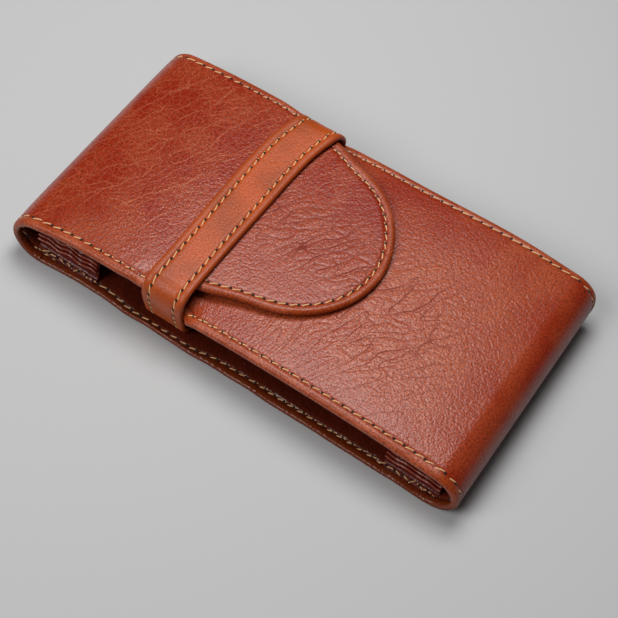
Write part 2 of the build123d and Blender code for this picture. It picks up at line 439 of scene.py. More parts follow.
def fill(loop, cell, edge=None):
    """Points and triangles that cover the inside of a closed line. The line's own points come first.

    Beside an edge that is sewn, the points are closer together in the seam's channel.
    """
    grid = grid_in(loop, cell)
    if edge is not None:
        seam = settings("thread").seam
        fine = grid_in(loop, PLATE_CELL)
        fine = fine[np.abs(distance_to(fine, edge) - seam) < CHANNEL_HALF]
        coarse = np.abs(distance_to(grid, edge) - seam) > CHANNEL_HALF + 0.5 * cell
        grid = np.concatenate([grid[coarse], fine])
    points = np.concatenate([loop, grid])
    edges = [(i, (i + 1) % len(loop)) for i in range(len(loop))]
    millimetres = 1000
    made = delaunay_2d_cdt([Vector(p * millimetres) for p in points], edges, [], 1, 1e-6)
    if len(made[0]) != len(points):
        raise RuntimeError("the outline of a leather piece crosses itself")
    return points, [list(face) for face in made[2]]


# The stretches of the folded strip of leather


def cover_arc(fold_radius, rise, run):
    """Radius and angle of the arc that leaves a fold smoothly and ends level."""
    height = fold_radius + rise
    radius = (run**2 + height**2 - fold_radius**2) / (2 * rise)
    return radius, math.asin(run / (radius - fold_radius))


def seam_relief(rim, seam):
    """Depth of the groove that the stitches lie in, and height of the bead beside it."""
    thread = settings("thread")
    groove = thread.groove * bump_across(rim - seam, thread.groove_half)
    return groove, settings("leather").bead * bump_across(rim - seam / 2, BEAD_HALF)


class Stretch:
    """One stretch of the strip: how its outer face lies, how its pattern runs and how creased it is."""

    def __init__(self, face, pattern, flow, creased, pale, lie):
        self.face = face
        self.lie = lie
        self.pattern = pattern
        self.flow = flow
        self.creased = creased
        self.pale = pale

    def sunk(self, points, pattern, across, rim):
        """How far the outer face lies below its plain form: puckers, drooping edges and the strap's press."""
        leather, seam = settings("leather"), settings("thread").seam
        x, height = points[:, 0], points[:, 2]
        outwards = np.abs(across) / HALF_WIDTH
        droop = leather.droop * outwards**DROOP_POWER
        sway = 0.25 * MM * waves(points * (1, 0.3, 0.3), 24 * MM, 71) * outwards**DROOP_POWER
        on_tongue = smooth(FLAP_END_X, FRONT_END_X, x) * over_front(points)
        within = smooth(seam, seam + 2 * MM, rim)
        strength = self.creased(points) * (1 - 0.55 * self.pale(points)) * within
        puckers = leather.pucker * (hollows(self.flow(pattern, across)) - 0.65 * on_tongue) * strength
        strap_low, strap_high = (STRAP_LOW_X - 5 * MM, STRAP_LOW_X), (STRAP_HIGH_X, STRAP_HIGH_X + 5 * MM)
        below = between(strap_low, strap_high, x) * smooth(0.75, 0.97, outwards)
        press = leather.press * below * np.where(across < 0, 1, 0.25)
        top = smooth(FLAP_FOLD_RADIUS * 0.6, FLAP_FOLD_RADIUS * 1.7, height)
        return (puckers + droop + sway + press) * top

    def lay(self, along, across, depth, rim):
        """Points at a depth under the outer face, with the bead and the groove along the seam."""
        points, outs = self.face(along, across)
        groove, bead = seam_relief(rim, settings("thread").seam)
        outer = np.clip(1 - depth / OUTER, 0, 1)
        inner = np.clip((depth - OUTER) / (SHELL - OUTER), 0, 1)
        offset = (bead * off_table(points[:, 2]) - groove) * outer - (bead - groove) * inner
        offset -= self.sunk(points, self.pattern(along), across, rim) + depth
        return self.lie(points + outs * offset[:, None])


def spread(x, y, z):
    """How far the soft leather's edges lie outside the frame's, across the case."""
    leather, high = settings("leather"), raised(z)
    middle = 0.3 * smooth(-26 * MM, -14 * MM, x) * high
    wider = middle + 0.7 * (0.5 + 0.5 * high) * smooth(10 * MM, 62 * MM, x)
    far = leather.bulge * high + leather.flare * wider
    near = leather.near_flare * (1 - smooth(-80 * MM, -58 * MM, x))
    return far * smooth(4 * MM, 42 * MM, y) - near * smooth(4 * MM, 42 * MM, -y)


def lie(points):
    """Points of a cover or a fold where the soft leather lies: askew by the strap, bulged and turned down."""
    x, y, z = points.T
    by_strap = between((FLAP_FOLD_X + 4 * MM, -42 * MM), (-8 * MM, 38 * MM), x)
    skewed = settings("leather").skew * np.clip((y - 8 * MM) / (35 * MM), 0, 1.05) ** 2.2 * by_strap
    turned = 0.3 * MM * smooth(39 * MM, 43 * MM, y) * raised(z)
    soft_end = 0.45 * MM * bump_across(x - FRONT_FOLD_X, 11 * MM) * smooth(14 * MM, 19 * MM, z)
    soft_end = soft_end * smooth(39 * MM, 42 * MM, np.abs(y))
    return np.stack([x + skewed, y + spread(x, y, z) - turned, z - turned - soft_end], axis=1)


def strap_lie(points):
    """The same for the strap, whose two bends stand further out."""
    reach = settings("leather").strap_reach
    x, y, z = points.T
    laid = lie(points)
    high = smooth(4 * MM, 18 * MM, z)
    out = smooth(22 * MM, 43 * MM, np.abs(y)) * high
    laid[:, 0] += 1.4 * MM * smooth(24 * MM, 43 * MM, y) * high
    laid[:, 1] += reach * out * np.where(y > 0, 0.6, -0.8)
    laid[:, 2] += 0.5 * reach * smooth(8 * MM, 41 * MM, y) * high
    return laid


def tongue_lie(points):
    """The same for the flap and its tongue, which lies towards the far side."""
    sway = settings("leather").sway
    x, y = points[:, 0], points[:, 1]
    out = smooth(FLAP_END_X - 1 * MM, FRONT_END_X, x)
    fanned = 0.4 * y / NECK_HALF * (1 - smooth(FRONT_END_X, -4 * MM, x))
    laid = lie(points)
    laid[:, 1] += sway * out * (1 + fanned)
    laid[:, 0] -= 0.3 * sway * smooth(-10 * MM, 20 * MM, x)
    return laid


def lip(points):
    """Points of the back, whose edges are wavy and thin, and bent up before the strap's near foot."""
    reach = settings("leather").lip
    x, y, z = points.T
    rim = HALF_WIDTH - np.abs(y)
    loose = between((FLAP_FOLD_X, -62 * MM), (60 * MM, FRONT_FOLD_X), x) * (1 - smooth(0, 7 * MM, rim))
    wavy = 0.35 * MM * (1 + along_row(x, 8 * MM, 83))
    bent = reach * bump_across(x - STRAP_X, 12 * MM) * (y < 0)
    thinned = 0.45 * MM * z / SHELL * (1 - smooth(1 * MM, 6 * MM, rim))
    by_foot = between((-50 * MM, -36 * MM), (-16 * MM, -2 * MM), x) * (y < 0)
    out = reach * by_foot * (0.7 + smooth(0, 2.5 * MM, rim)) * (1 - smooth(3.5 * MM, 8 * MM, rim))
    return np.stack([x, y + spread(x, y, z) - out, z + (wavy + bent) * loose - thinned], axis=1)


def straight_flow(x, y):
    """Crease coordinates where the creases all run one way: along a crease and across it."""
    turn = settings("leather").crease_turn
    along = x * math.cos(turn) + y * math.sin(turn)
    across = y * math.cos(turn) - x * math.sin(turn)
    return np.stack([along, across], axis=1)


def fanned_flow(x, y):
    """Crease coordinates of the front panel, whose creases fan out from a place beside its near edge."""
    leather = settings("leather")
    x, y = x - leather.fan_x, y - leather.fan_y
    return np.stack([np.hypot(x, y), np.arctan2(y, x) * abs(leather.fan_y)], axis=1)


def arch(x, center_x, top_z, radius):
    """Height and outward direction of a cover that is an arc seen from the side."""
    rise = np.sqrt(radius**2 - (x - center_x) ** 2)
    outs = np.stack([(x - center_x) / radius, np.zeros_like(x), rise / radius], axis=-1)
    return top_z - radius + rise, outs


def flap_arc():
    """Radius and slope of the flap's arc, and where it meets its fold."""
    rise = FLAP_TOP_Z - 2 * FLAP_FOLD_RADIUS
    radius, slope = cover_arc(FLAP_FOLD_RADIUS, rise, FLAP_END_X - FLAP_FOLD_X)
    return radius, slope, FLAP_FOLD_X - FLAP_FOLD_RADIUS * math.sin(slope)


def front_arc():
    """Radius and slope of the front panel's arc, where it meets its fold, and its highest line."""
    crown_run = settings("leather").crown_run
    rise = FRONT_TOP_Z - 2 * FRONT_FOLD_RADIUS
    radius, slope = cover_arc(FRONT_FOLD_RADIUS, rise, crown_run)
    return radius, slope, FRONT_FOLD_X + FRONT_FOLD_RADIUS * math.sin(slope), FRONT_FOLD_X - crown_run


def flap_stretch():
    """The flap and the tongue, from above."""
    radius = flap_arc()[0]

    def face(x, y):
        z, outs = arch(np.minimum(x, FLAP_END_X), FLAP_END_X, FLAP_TOP_Z, radius)
        return np.stack([x, y, z], axis=-1), outs

    return Stretch(face, lambda x: x, straight_flow, flap_creased, flap_pale, tongue_lie)


def front_stretch():
    """The front panel, from above."""
    radius, _, _, crown_x = front_arc()

    def face(x, y):
        z, outs = arch(x, crown_x, FRONT_TOP_Z, radius)
        return np.stack([x, y, z], axis=-1), outs

    return Stretch(face, lambda x: x, fanned_flow, front_creased, nothing, lie)


def flap_near(points):
    """1 along the flap's near edge, where its leather is finely wrinkled."""
    x, y = points[:, 0], points[:, 1]
    return between((-76 * MM, -64 * MM), (-32 * MM, -20 * MM), x) * (1 - smooth(-35 * MM, -21 * MM, y))


def flap_creased(points):
    """How strongly the flap and the tongue are creased."""
    x, y = points[:, 0], points[:, 1]
    tongue = smooth(FLAP_END_X, FRONT_END_X, x) * (0.25 + 0.75 * smooth(-16 * MM, -6 * MM, y))
    tongue = tongue * (1 - 0.5 * smooth(6 * MM, 16 * MM, y))
    from_fold = smooth(FLAP_FOLD_X - 6 * MM, -50 * MM, x)
    flap = 0.25 + 0.35 * from_fold * (1 - 0.5 * smooth(0, 35 * MM, y))
    flap = flap * (1 - smooth(STRAP_X, FRONT_END_X, x))
    return np.maximum(np.maximum(tongue, flap), 0.7 * flap_near(points))


def flap_pale(points):
    """How pale the creases of the flap and the tongue are, from dark at 0."""
    x, y = points[:, 0], points[:, 1]
    neck = 0.8 * smooth(8 * MM, 20 * MM, y) * (1 - smooth(-4 * MM, 12 * MM, x))
    flap = 1 - smooth(FLAP_END_X, STRAP_HIGH_X, x)
    return np.maximum(flap, neck) * (1 - 0.85 * flap_near(points))


def front_creased(points):
    """How strongly the front panel is creased."""
    x, y = points[:, 0], points[:, 1]
    from_fold = 1 - smooth(36 * MM, 76 * MM, x)
    from_far_side = 1 - smooth(4 * MM, 29 * MM, y)
    near_edge = 0.35 + 0.65 * smooth(-38 * MM, -18 * MM, y)
    return 0.1 + 0.85 * from_fold * from_far_side * near_edge


def fold_stretch(end):
    """The leather round one end of the case, followed from the cover down to the back."""
    if end == "head":
        slope, border = flap_arc()[1:3]
        fold_x, radius, turn = FLAP_FOLD_X, FLAP_FOLD_RADIUS, 1
        looks = straight_flow, flap_creased, flap_pale
    else:
        slope, border = front_arc()[1:3]
        fold_x, radius, turn = FRONT_FOLD_X, FRONT_FOLD_RADIUS, -1
        looks = fanned_flow, front_creased, nothing

    def face(along, across):
        angles = math.pi / 2 + turn * slope + turn * along / radius
        outs = np.stack([np.cos(angles), np.zeros_like(angles), np.sin(angles)], axis=-1)
        points = np.array([fold_x, 0, radius]) + outs * radius
        points[:, 1] = across
        return points, outs

    stretch = Stretch(face, lambda s: border - turn * s, *looks, lie)
    stretch.length = radius * (math.pi - slope)
    stretch.half_length = radius * (math.pi / 2 - slope)
    return stretch


def back_stretch():
    """The flat back, from above."""

    def face(x, y):
        outs = np.tile([0.0, 0.0, -1.0], (len(x), 1))
        return np.stack([x, y, np.zeros_like(x)], axis=-1), outs

    head = fold_stretch("head")
    start = head.pattern(head.length) - FLAP_FOLD_X
    return Stretch(face, lambda x: start - (x - FLAP_FOLD_X), straight_flow, lambda p: 0.1 + nothing(p),
                   nothing, lip)


# Meshes of the leather pieces


def make_piece(name, points, faces, pattern, masks, leather, flow=None):
    """A closed mesh object, with its pattern and creases as UV maps and its masks as attributes."""
    mesh = bpy.data.meshes.new(name)
    mesh.from_pydata(points, [], faces)
    work = bmesh.new()
    work.from_mesh(mesh)
    bmesh.ops.recalc_face_normals(work, faces=work.faces)
    if work.calc_volume(signed=True) < 0:
        bmesh.ops.reverse_faces(work, faces=work.faces)
    work.to_mesh(mesh)
    work.free()
    corners = np.zeros(len(mesh.loops), int)
    mesh.loops.foreach_get("vertex_index", corners)
    for key, values in (("pattern", pattern), ("flow", pattern if flow is None else flow)):
        uv = mesh.uv_layers.new(name=key)
        uv.uv.foreach_set("vector", values[corners].astype(np.float32).ravel())
    for key, values in masks.items():
        layer = mesh.attributes.new(key, "FLOAT", "POINT")
        layer.data.foreach_set("value", np.asarray(values, np.float32))
    mesh.shade_smooth()
    mesh.set_sharp_from_angle(angle=SHARP_FROM)
    mesh.materials.append(leather)
    mesh.validate()
    piece = bpy.data.objects.new(name, mesh)
    bpy.context.scene.collection.objects.link(piece)
    return piece


def leather_masks(stretch, along, across, rim):
    """The masks that a leather's material reads."""
    points = stretch.face(along, across)[0]
    creased, pale = stretch.creased(points), stretch.pale(points)
    x, y, height = points.T
    on_front = 0.15 + 0.35 * between((15 * MM, 60 * MM), (66 * MM, 80 * MM), x)
    elsewhere = np.minimum(1, creased * (1 - 0.7 * pale) + on_front * (pale == 0))
    on_tongue = smooth(STRAP_X, FRONT_END_X, x) * over_front(points)
    # Partly painted sheen: this mask marks real rubbing and also where the light's sheen falls; on the tongue
    # it is strongest along its near half
    worn = (1 - on_tongue) * elsewhere + (0.55 - 0.4 * smooth(2 * MM, 20 * MM, y)) * on_tongue
    # Painted shade: low rises towards the table, up to about 19 mm, and darkens and roughens the leather
    # there, standing in for the shadow near the floor
    low = 1 - smooth(1 * MM, 19 * MM, height)
    return {"rim": rim, "creased": creased, "pale": pale, "worn": worn, "low": low}


def nose(radius):
    """Steps round a quarter turn: how far in from the edge and how far under the face."""
    turns = np.linspace(0, math.pi / 2, 6)
    return [(radius * (1 - math.sin(t)), radius * (1 - math.cos(t))) for t in turns]


def layer_depths(layer):
    """Depths of one layer's glued face and of its shown face, and the rounding of its edge."""
    leather = settings("leather")
    if layer == "outer":
        return OUTER, 0.0, leather.edge_round
    return OUTER, SHELL, leather.lining_round


def seam_rows(edge, step, seam):
    """Places across a piece, closer together in the channels of its two seams."""
    rows = spaced(-edge, edge, step)
    rows = rows[np.abs(np.abs(rows) - seam) > CHANNEL_HALF + 0.1 * MM]
    fine = spaced(-CHANNEL_HALF, CHANNEL_HALF, BAND_CELL)
    fine = np.concatenate([fine - seam, fine + seam])
    return np.sort(np.concatenate([rows, fine[np.abs(fine) < edge - 0.05 * MM]]))


def section(half, glued, shown, radius, step, seam):
    """The outline of one layer cut across, as places across and depths."""
    inward = 1 if glued > shown else -1
    rim = [(half - inset, shown + inward * under) for inset, under in nose(radius)]
    across = seam_rows(half - radius, step, half - seam)
    shown_row = [(a, shown) for a in across[1:-1]]
    right = rim + [(half, glued)]
    glued_row = [(a, glued) for a in across[::-1]]
    left = [(-a, d) for a, d in reversed(right)]
    return np.array(shown_row + right + glued_row + left)


def band(name, stretch, start, end, layer, leather, step=None):
    """A stretch of one layer, as wide as the case and cut square at both ends."""
    step = step or settings("leather").cell
    loop = section(HALF_WIDTH, *layer_depths(layer), step, settings("thread").seam)
    first = 0.1 * MM
    stations = np.concatenate([[start], spaced(start + first, end - first, step), [end]])
    along, across, depth, faces = tube(stations, loop)
    rim = HALF_WIDTH - np.abs(across)
    return stretch_piece(name, stretch, (along, across, depth), faces, rim, leather)


def stretch_piece(name, stretch, places, faces, rim, leather):
    """A piece whose points lie along, across and under the outer face of a stretch."""
    along, across, depth = places
    laid = stretch.lay(along, across, depth, rim)
    pattern = np.stack([stretch.pattern(along), across], axis=1)
    masks = leather_masks(stretch, along, across, rim)
    return make_piece(name, laid, faces, pattern, masks, leather, stretch.flow(*pattern.T))


def wall_faces(stations, around):
    """Faces that join equal loops, each to the next."""
    faces = []
    for i, j in itertools.product(range(stations - 1), range(around)):
        k = (j + 1) % around
        faces.append((i * around + j, i * around + k, (i + 1) * around + k, (i + 1) * around + j))
    return faces


def tube(stations, loop):
    """A section repeated at stations: places along, places across, depths, and the faces that close it."""
    around = len(loop)
    last = (len(stations) - 1) * around
    caps = [tuple(range(around)), tuple(range(last + around - 1, last - 1, -1))]
    across, depth = np.tile(loop, (len(stations), 1)).T
    return np.repeat(stations, around), across, depth, wall_faces(len(stations), around) + caps


def inward_of(line, cut):
    """Directions into the piece at the points of its outline, which runs anticlockwise."""
    if cut:
        runs = np.gradient(line, axis=0)
    else:
        runs = np.roll(line, -1, axis=0) - np.roll(line, 1, axis=0)
    runs /= np.linalg.norm(runs, axis=1)[:, None]
    inward = np.stack([-runs[:, 1], runs[:, 0]], axis=1)
    if cut:
        inward[0] = (0, -np.sign(line[0, 1]))
        inward[-1] = (0, -np.sign(line[-1, 1]))
    return inward


def plate(outline, cut, glued, shown, radius, cell, hidden_cell, sewn=False):
    """One layer cut to an outline, in the plane: points with depths and rims, and its faces."""
    inward = inward_of(outline, cut)
    line = outline if cut else np.concatenate([outline, outline[:1]])
    side_of = 1 if glued > shown else -1
    steps = [(0.0, glued)] + [(i, shown + side_of * u) for i, u in reversed(nose(radius))]
    rings = []
    for inset, _ in steps:
        ring = outline + inward * inset
        if cut:
            count = max(3, int(np.linalg.norm(ring[-1] - ring[0]) / cell))
            count = len(rings[0]) - len(outline) + 2 if rings else count
            wall = np.linspace(ring[-1], ring[0], count)[1:-1]
            ring = np.concatenate([ring, wall])
        rings.append(ring)
    around = len(rings[0])
    points = [np.column_stack([ring, np.full(around, depth)]) for ring, (_, depth) in zip(rings, steps)]
    faces = wall_faces(len(rings), around)
    ends = ((0, glued, hidden_cell, 0), (-1, shown, cell, (len(rings) - 1) * around))
    for ring, depth, spacing, start in ends:
        flat, triangles = fill(rings[ring], spacing, line if ring and sewn else None)
        extra = flat[around:]
        base = sum(len(p) for p in points)
        points.append(np.column_stack([extra, np.full(len(extra), depth)]))
        for face in triangles:
            faces.append(tuple(start + v if v < around else base + v - around for v in face))
    points = np.concatenate(points)
    return points, faces, distance_to(points[:, :2], line)


def sheet_piece(name, stretch, outline, layer, leather):
    """One layer of a cover, cut to its outline and laid on its stretch."""
    sewn = layer == "outer"
    cell, hidden_cell = settings("leather").cell, settings("leather").hidden_cell
    shown_cell = cell if sewn else 2 * cell
    points, faces, rim = plate(outline, True, *layer_depths(layer), shown_cell, hidden_cell, sewn)
    return stretch_piece(name, stretch, points.T, faces, rim, leather)


def even_line(points, step):
    """A line with evenly spaced points."""
    points = np.array([tuple(p) for p in points], float)
    gaps = np.linalg.norm(np.diff(points, axis=0), axis=1)
    points = points[np.concatenate([[True], gaps > TOUCHING])]
    lengths = run_lengths(points)
    marks = spaced(0, lengths[-1], step)
    return np.stack([np.interp(marks, lengths, points[:, i]) for i in (0, 1)], axis=1)


def tongue_half(inset=0.0):
    """The near half of the tongue's outline, from the strap to the tip."""
    leather = settings("leather")
    long, half = leather.oval_length - inset, leather.oval_half - inset
    center_x = TONGUE_TIP_X - leather.oval_length
    neck = NECK_HALF - inset
    u, v = (FLAP_END_X - center_x) / long, neck / half
    meet = math.atan2(v, u) - math.acos(1 / math.hypot(u, v))
    turns = np.linspace(meet, 0, 90)
    oval = [(center_x + long * math.cos(t), -half * math.sin(t)) for t in turns]
    return [(FLAP_END_X, -neck)] + oval


def mirrored(half):
    """A line that ends on the case's middle, run on along its mirror image."""
    half = np.array(half)
    return np.concatenate([half, half[::-1][1:] * (1, -1)])


def flap_outline():
    """The flap and the tongue in one line, from the near end of the fold to the far end."""
    neck = tongue_half()
    slope = (neck[1][1] - neck[0][1]) / (neck[1][0] - neck[0][0])
    turn = settings("leather").shoulder
    start = STRAP_LOW_X + 1.2 * MM
    edge = HALF_WIDTH - 0.7 * MM
    drop = edge + neck[0][1] - 2 * turn
    turns = np.linspace(0, math.pi / 2, 12)
    near = [(flap_arc()[2], -HALF_WIDTH), (start - 9 * MM, -HALF_WIDTH), (start, -edge)]
    near += [(start + turn * math.sin(t), -edge + turn * (1 - math.cos(t))) for t in turns[1:]]
    near += [(start + turn + turn * (1 - math.cos(t)), -edge + turn + drop + turn * math.sin(t))
             for t in turns]
    near.append((STRAP_X, neck[0][1] + slope * (STRAP_X - FLAP_END_X)))
    near += [p for p in neck[1:] if p[0] > STRAP_X]
    return even_line(mirrored(near), OUTLINE_STEP)


def front_outline():
    """The front panel, from the far end of its fold round its free end to the near end."""
    leather = settings("leather")
    border, end, tucked = front_arc()[2], FRONT_END_X, FRONT_END_X - leather.tuck
    corners = [(border, HALF_WIDTH), (end - 1.8 * MM, HALF_WIDTH), (tucked, HALF_WIDTH - 1.5 * MM),
               (tucked, 2.4 * MM - HALF_WIDTH), (end - 0.2 * MM, 1.4 * MM - HALF_WIDTH),
               (end + 0.6 * MM, -HALF_WIDTH), (border, -HALF_WIDTH)]
    return even_line(rounded_points(corners, leather.corner), OUTLINE_STEP)


def finish_piece(piece, slot, nodes, body=None, bend=None):
    """Hangs a piece on the body that it rides on, or fixes its place when it is given a bend, and hides the
    nodes that it stands for; the finish that it is given is not used.
    """
    if bend:
        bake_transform(piece)
    else:
        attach(piece, body)
    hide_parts(*nodes)


def finish_layer(piece, layer, panels=(), others=(), **carried):
    """The same for one layer of the strip, which stands for nodes of its own layer."""
    endings = {"outer": ("_panel", ""), "lining": ("_lining", "_lining")}[layer]
    nodes = [n + endings[0] for n in panels] + [n + endings[1] for n in others]
    finish_piece(piece, f"{layer}_leather", nodes, **carried)


def fold_bends(end):
    """For each half of a fold: its bodies, and where its bend starts and ends, on its inner face."""
    cover = ENDS[end]
    stretch = fold_stretch(end)
    marks = np.array([0, stretch.half_length, stretch.length])
    points, outs = stretch.face(marks, np.zeros(3))
    top, middle, low = [tuple(p) for p in points - outs * SHELL]
    spine = cover + "_spine"
    return {"high": (spine, cover, middle, top), "low": ("base", spine, low, middle)}


# Node trees


class Tree:
    """Short ways to add nodes to a tree and to link them."""

    def __init__(self, tree):
        self.tree = tree

    def add(self, kind, sockets=None, **options):
        """A new node, with its options set and each named input linked or given a value."""
        node = self.tree.nodes.new(kind)
        for key, value in options.items():
            setattr(node, key, value)
        for key, value in (sockets or {}).items():
            self.feed(node.inputs[key], value)
        return node

    def feed(self, socket, value):
        """Links a socket, or sets its value."""
        if isinstance(value, bpy.types.NodeSocket):
            self.tree.links.new(value, socket)
        else:
            socket.default_value = value

    def math(self, operation, a, b=0.0, c=0.0, clamp=False):
        """A number worked out from up to three others."""
        node = self.add("ShaderNodeMath", operation=operation, use_clamp=clamp)
        for socket, value in zip(node.inputs, (a, b, c)):
            self.feed(socket, value)
        return node.outputs[0]

    def times(self, a, b, clamp=False):
        """Two numbers multiplied."""
        return self.math("MULTIPLY", a, b, clamp=clamp)

    def times_plus(self, a, b, c):
        """Two numbers multiplied, and a third added."""
        return self.math("MULTIPLY_ADD", a, b, c)

    def gap(self, a, b):
        """How far two numbers are apart."""
        return self.math("ABSOLUTE", self.math("SUBTRACT", a, b))

    def vector_math(self, operation, a, b, c=(0, 0, 0)):
        """A vector worked out from up to three others."""
        return self.add("ShaderNodeVectorMath", {0: a, 1: b, 2: c}, operation=operation).outputs[0]

    def vector(self, x, y=0.0, z=0.0):
        """A vector of three numbers."""
        return self.add("ShaderNodeCombineXYZ", {0: x, 1: y, 2: z}).outputs[0]

    def rise(self, value, low, high, out_low=0.0, out_high=1.0):
        """A value moved smoothly from one range to another."""
        node = self.add("ShaderNodeMapRange", interpolation_type="SMOOTHSTEP")
        for socket, part in zip(node.inputs[:5], (value, low, high, out_low, out_high)):
            self.feed(socket, part)
        return node.outputs[0]

    def noise(self, vector, scale, detail=0.0):
        """The outputs of flat noise."""
        sockets = {"Vector": vector, "Scale": scale, "Detail": detail}
        return self.add("ShaderNodeTexNoise", sockets, noise_dimensions="2D").outputs

    def cells(self, vector, scale, feature):
        """Distances in a flat field of cells."""
        sockets = {"Vector": vector, "Scale": scale}
        node = self.add("ShaderNodeTexVoronoi", sockets, feature=feature, voronoi_dimensions="2D")
        return node.outputs["Distance"]

    def blend(self, factor, a, b):
        """Two colours mixed."""
        node = self.add("ShaderNodeMix", data_type="RGBA", blend_type="MIX")
        for socket, value in zip((node.inputs[0], node.inputs[6], node.inputs[7]), (factor, a, b)):
            self.feed(socket, (*value, 1.0) if isinstance(value, tuple) else value)
        return node.outputs[2]

    def dress(self, shader, base, rough, height):
        """Feeds a shader its colour, its roughness and its relief, a height in metres."""
        bump = self.add("ShaderNodeBump", {"Height": height, "Distance": 1.0, "Strength": 1.0})
        self.feed(shader.inputs["Base Color"], base)
        self.feed(shader.inputs["Roughness"], rough)
        self.feed(shader.inputs["Normal"], bump.outputs[0])


def node_group(name, kind, inputs, outputs):
    """A new node group: its tree, the sockets that it is given and those that take its results."""
    group = bpy.data.node_groups.new(name, kind)
    for direction, sockets in (("INPUT", inputs), ("OUTPUT", outputs)):
        for key, socket in sockets.items():
            group.interface.new_socket(key, in_out=direction, socket_type="NodeSocket" + socket)
    t = Tree(group)
    return t, t.add("NodeGroupInput").outputs, t.add("NodeGroupOutput").inputs


def grain_group():
    """The grain that every leather here has: a height in metres and masks for its pits and its creases."""
    if "leather_grain" in bpy.data.node_groups:
        return bpy.data.node_groups["leather_grain"]
    inputs = {"Pattern": "Vector", "Flow": "Vector"}
    inputs |= dict.fromkeys(("Grain", "Crease", "Stretch", "Creased", "Veined"), "Float")
    outputs = dict.fromkeys(("Height", "Pits", "Creases", "Veins", "Net", "Cloud"), "Float")
    t, given, results = node_group("leather_grain", "ShaderNodeTree", inputs, outputs)

    def swayed(vector, scale, reach):
        centred = t.vector_math("SUBTRACT", t.noise(vector, scale, 1.0)["Color"], (0.5, 0.5, 0.5))
        return t.vector_math("MULTIPLY_ADD", centred, (reach, reach, 0), vector)

    def stretched(vector, size, stretch, place):
        scale = t.vector(t.math("DIVIDE", 1.0, t.times(size, stretch)), t.math("DIVIDE", 1.0, size))
        return t.vector_math("MULTIPLY_ADD", vector, scale, place)

    def lines(turn, size_share, stretch_share, place):
        """How far the nearest of a family of long wavy lines is, and how high the leather swells between."""
        turned = t.add("ShaderNodeVectorRotate", {"Vector": flow, "Angle": turn}, rotation_type="Z_AXIS")
        size = t.times(given["Crease"], size_share)
        stretch = t.times(given["Stretch"], stretch_share)
        step = 0.12
        here, beside = (t.noise(stretched(turned.outputs[0], size, stretch, (place, y, 0)), 1.0)["Fac"]
                        for y in (place, place + step))
        slope = t.math("MAXIMUM", t.gap(beside, here), 0.02)
        swell = t.gap(here, 0.5)
        return t.times(t.math("DIVIDE", swell, slope), t.times(size, step)), swell

    def drawn(away, width, breaks, low, high, least):
        return t.times(t.rise(away, 0.0, width, 1.0, 0.0), t.rise(breaks, low, high, least, 1.0))

    flow = swayed(swayed(given["Flow"], 90.0, 4 * MM), 380.0, 0.5 * MM)
    cloud = t.noise(given["Pattern"], 70.0, 2.0)["Fac"]
    breaks = t.noise(given["Flow"], 110.0, 1.0)["Fac"]
    first, first_swell = lines(turn=0.0, size_share=1.3, stretch_share=1.2, place=3.7)
    second, second_swell = lines(turn=0.5, size_share=1.1, stretch_share=0.6, place=9.1)
    third = lines(turn=-0.7, size_share=1.0, stretch_share=0.5, place=17.3)[0]
    long_lines = drawn(first, 0.42 * MM, breaks, low=0.32, high=0.46, least=0.3)
    cross_lines = t.times(drawn(second, 0.36 * MM, cloud, low=0.38, high=0.54, least=0.3), 0.8)
    more_lines = t.times(drawn(third, 0.28 * MM, cloud, low=0.4, high=0.56, least=1.0), 0.5)
    marks = t.math("MAXIMUM", long_lines, t.math("MAXIMUM", cross_lines, more_lines))
    net_place = stretched(flow, t.times(given["Crease"], 0.62), 1.3, (0, 0, 0))
    edges = t.cells(net_place, 1.0, "DISTANCE_TO_EDGE")
    net = t.rise(edges, 0.0, 0.1, 1.0, 0.0)
    grain_scale = t.math("DIVIDE", 1.0, given["Grain"])
    pebbles = t.cells(swayed(given["Pattern"], 1300.0, 0.4 * MM), grain_scale, "F1")
    fine = t.noise(given["Pattern"], t.times(grain_scale, 0.9), 2.0)["Fac"]
    folded = t.times(given["Creased"], t.math("SUBTRACT", 1.0, given["Veined"]))
    creases = t.times(t.math("MAXIMUM", marks, t.times(net, 0.4)), folded)
    veins = t.times(t.times(marks, given["Veined"]), t.times_plus(given["Creased"], 0.8, 0.2))
    dome = t.math("MINIMUM", first_swell, t.times(second_swell, 1.3))
    height = t.times(t.times(t.times(dome, 5.0, clamp=True), folded), 0.08 * MM)
    for part, depth in ((veins, -0.008), (t.rise(edges, 0.0, 0.35), 0.02), (pebbles, -0.045), (fine, 0.055)):
        height = t.times_plus(part, depth * MM, height)
    specks = t.noise(given["Pattern"], t.times(grain_scale, 1.15), 1.5)["Fac"]
    pits = t.times(t.rise(pebbles, 0.25, 0.6, 0.55, 1.0), t.rise(specks, 0.4, 0.62))
    for key, value in zip(outputs, (height, pits, creases, veins, net, cloud)):
        t.feed(results[key], value)
    return t.tree


def mask(t, name):
    """One of a piece's own masks."""
    return t.add("ShaderNodeAttribute", attribute_name=name, attribute_type="GEOMETRY").outputs["Fac"]


def grain_of(t, *values):
    """A leather's grain, from its piece's own UV maps."""
    grain = t.add("ShaderNodeGroup", node_tree=grain_group())
    maps = [t.add("ShaderNodeUVMap", uv_map=name).outputs[0] for name in ("pattern", "flow")]
    for socket, value in zip(grain.inputs, (*maps, *values)):
        t.feed(socket, value)
    return grain.outputs


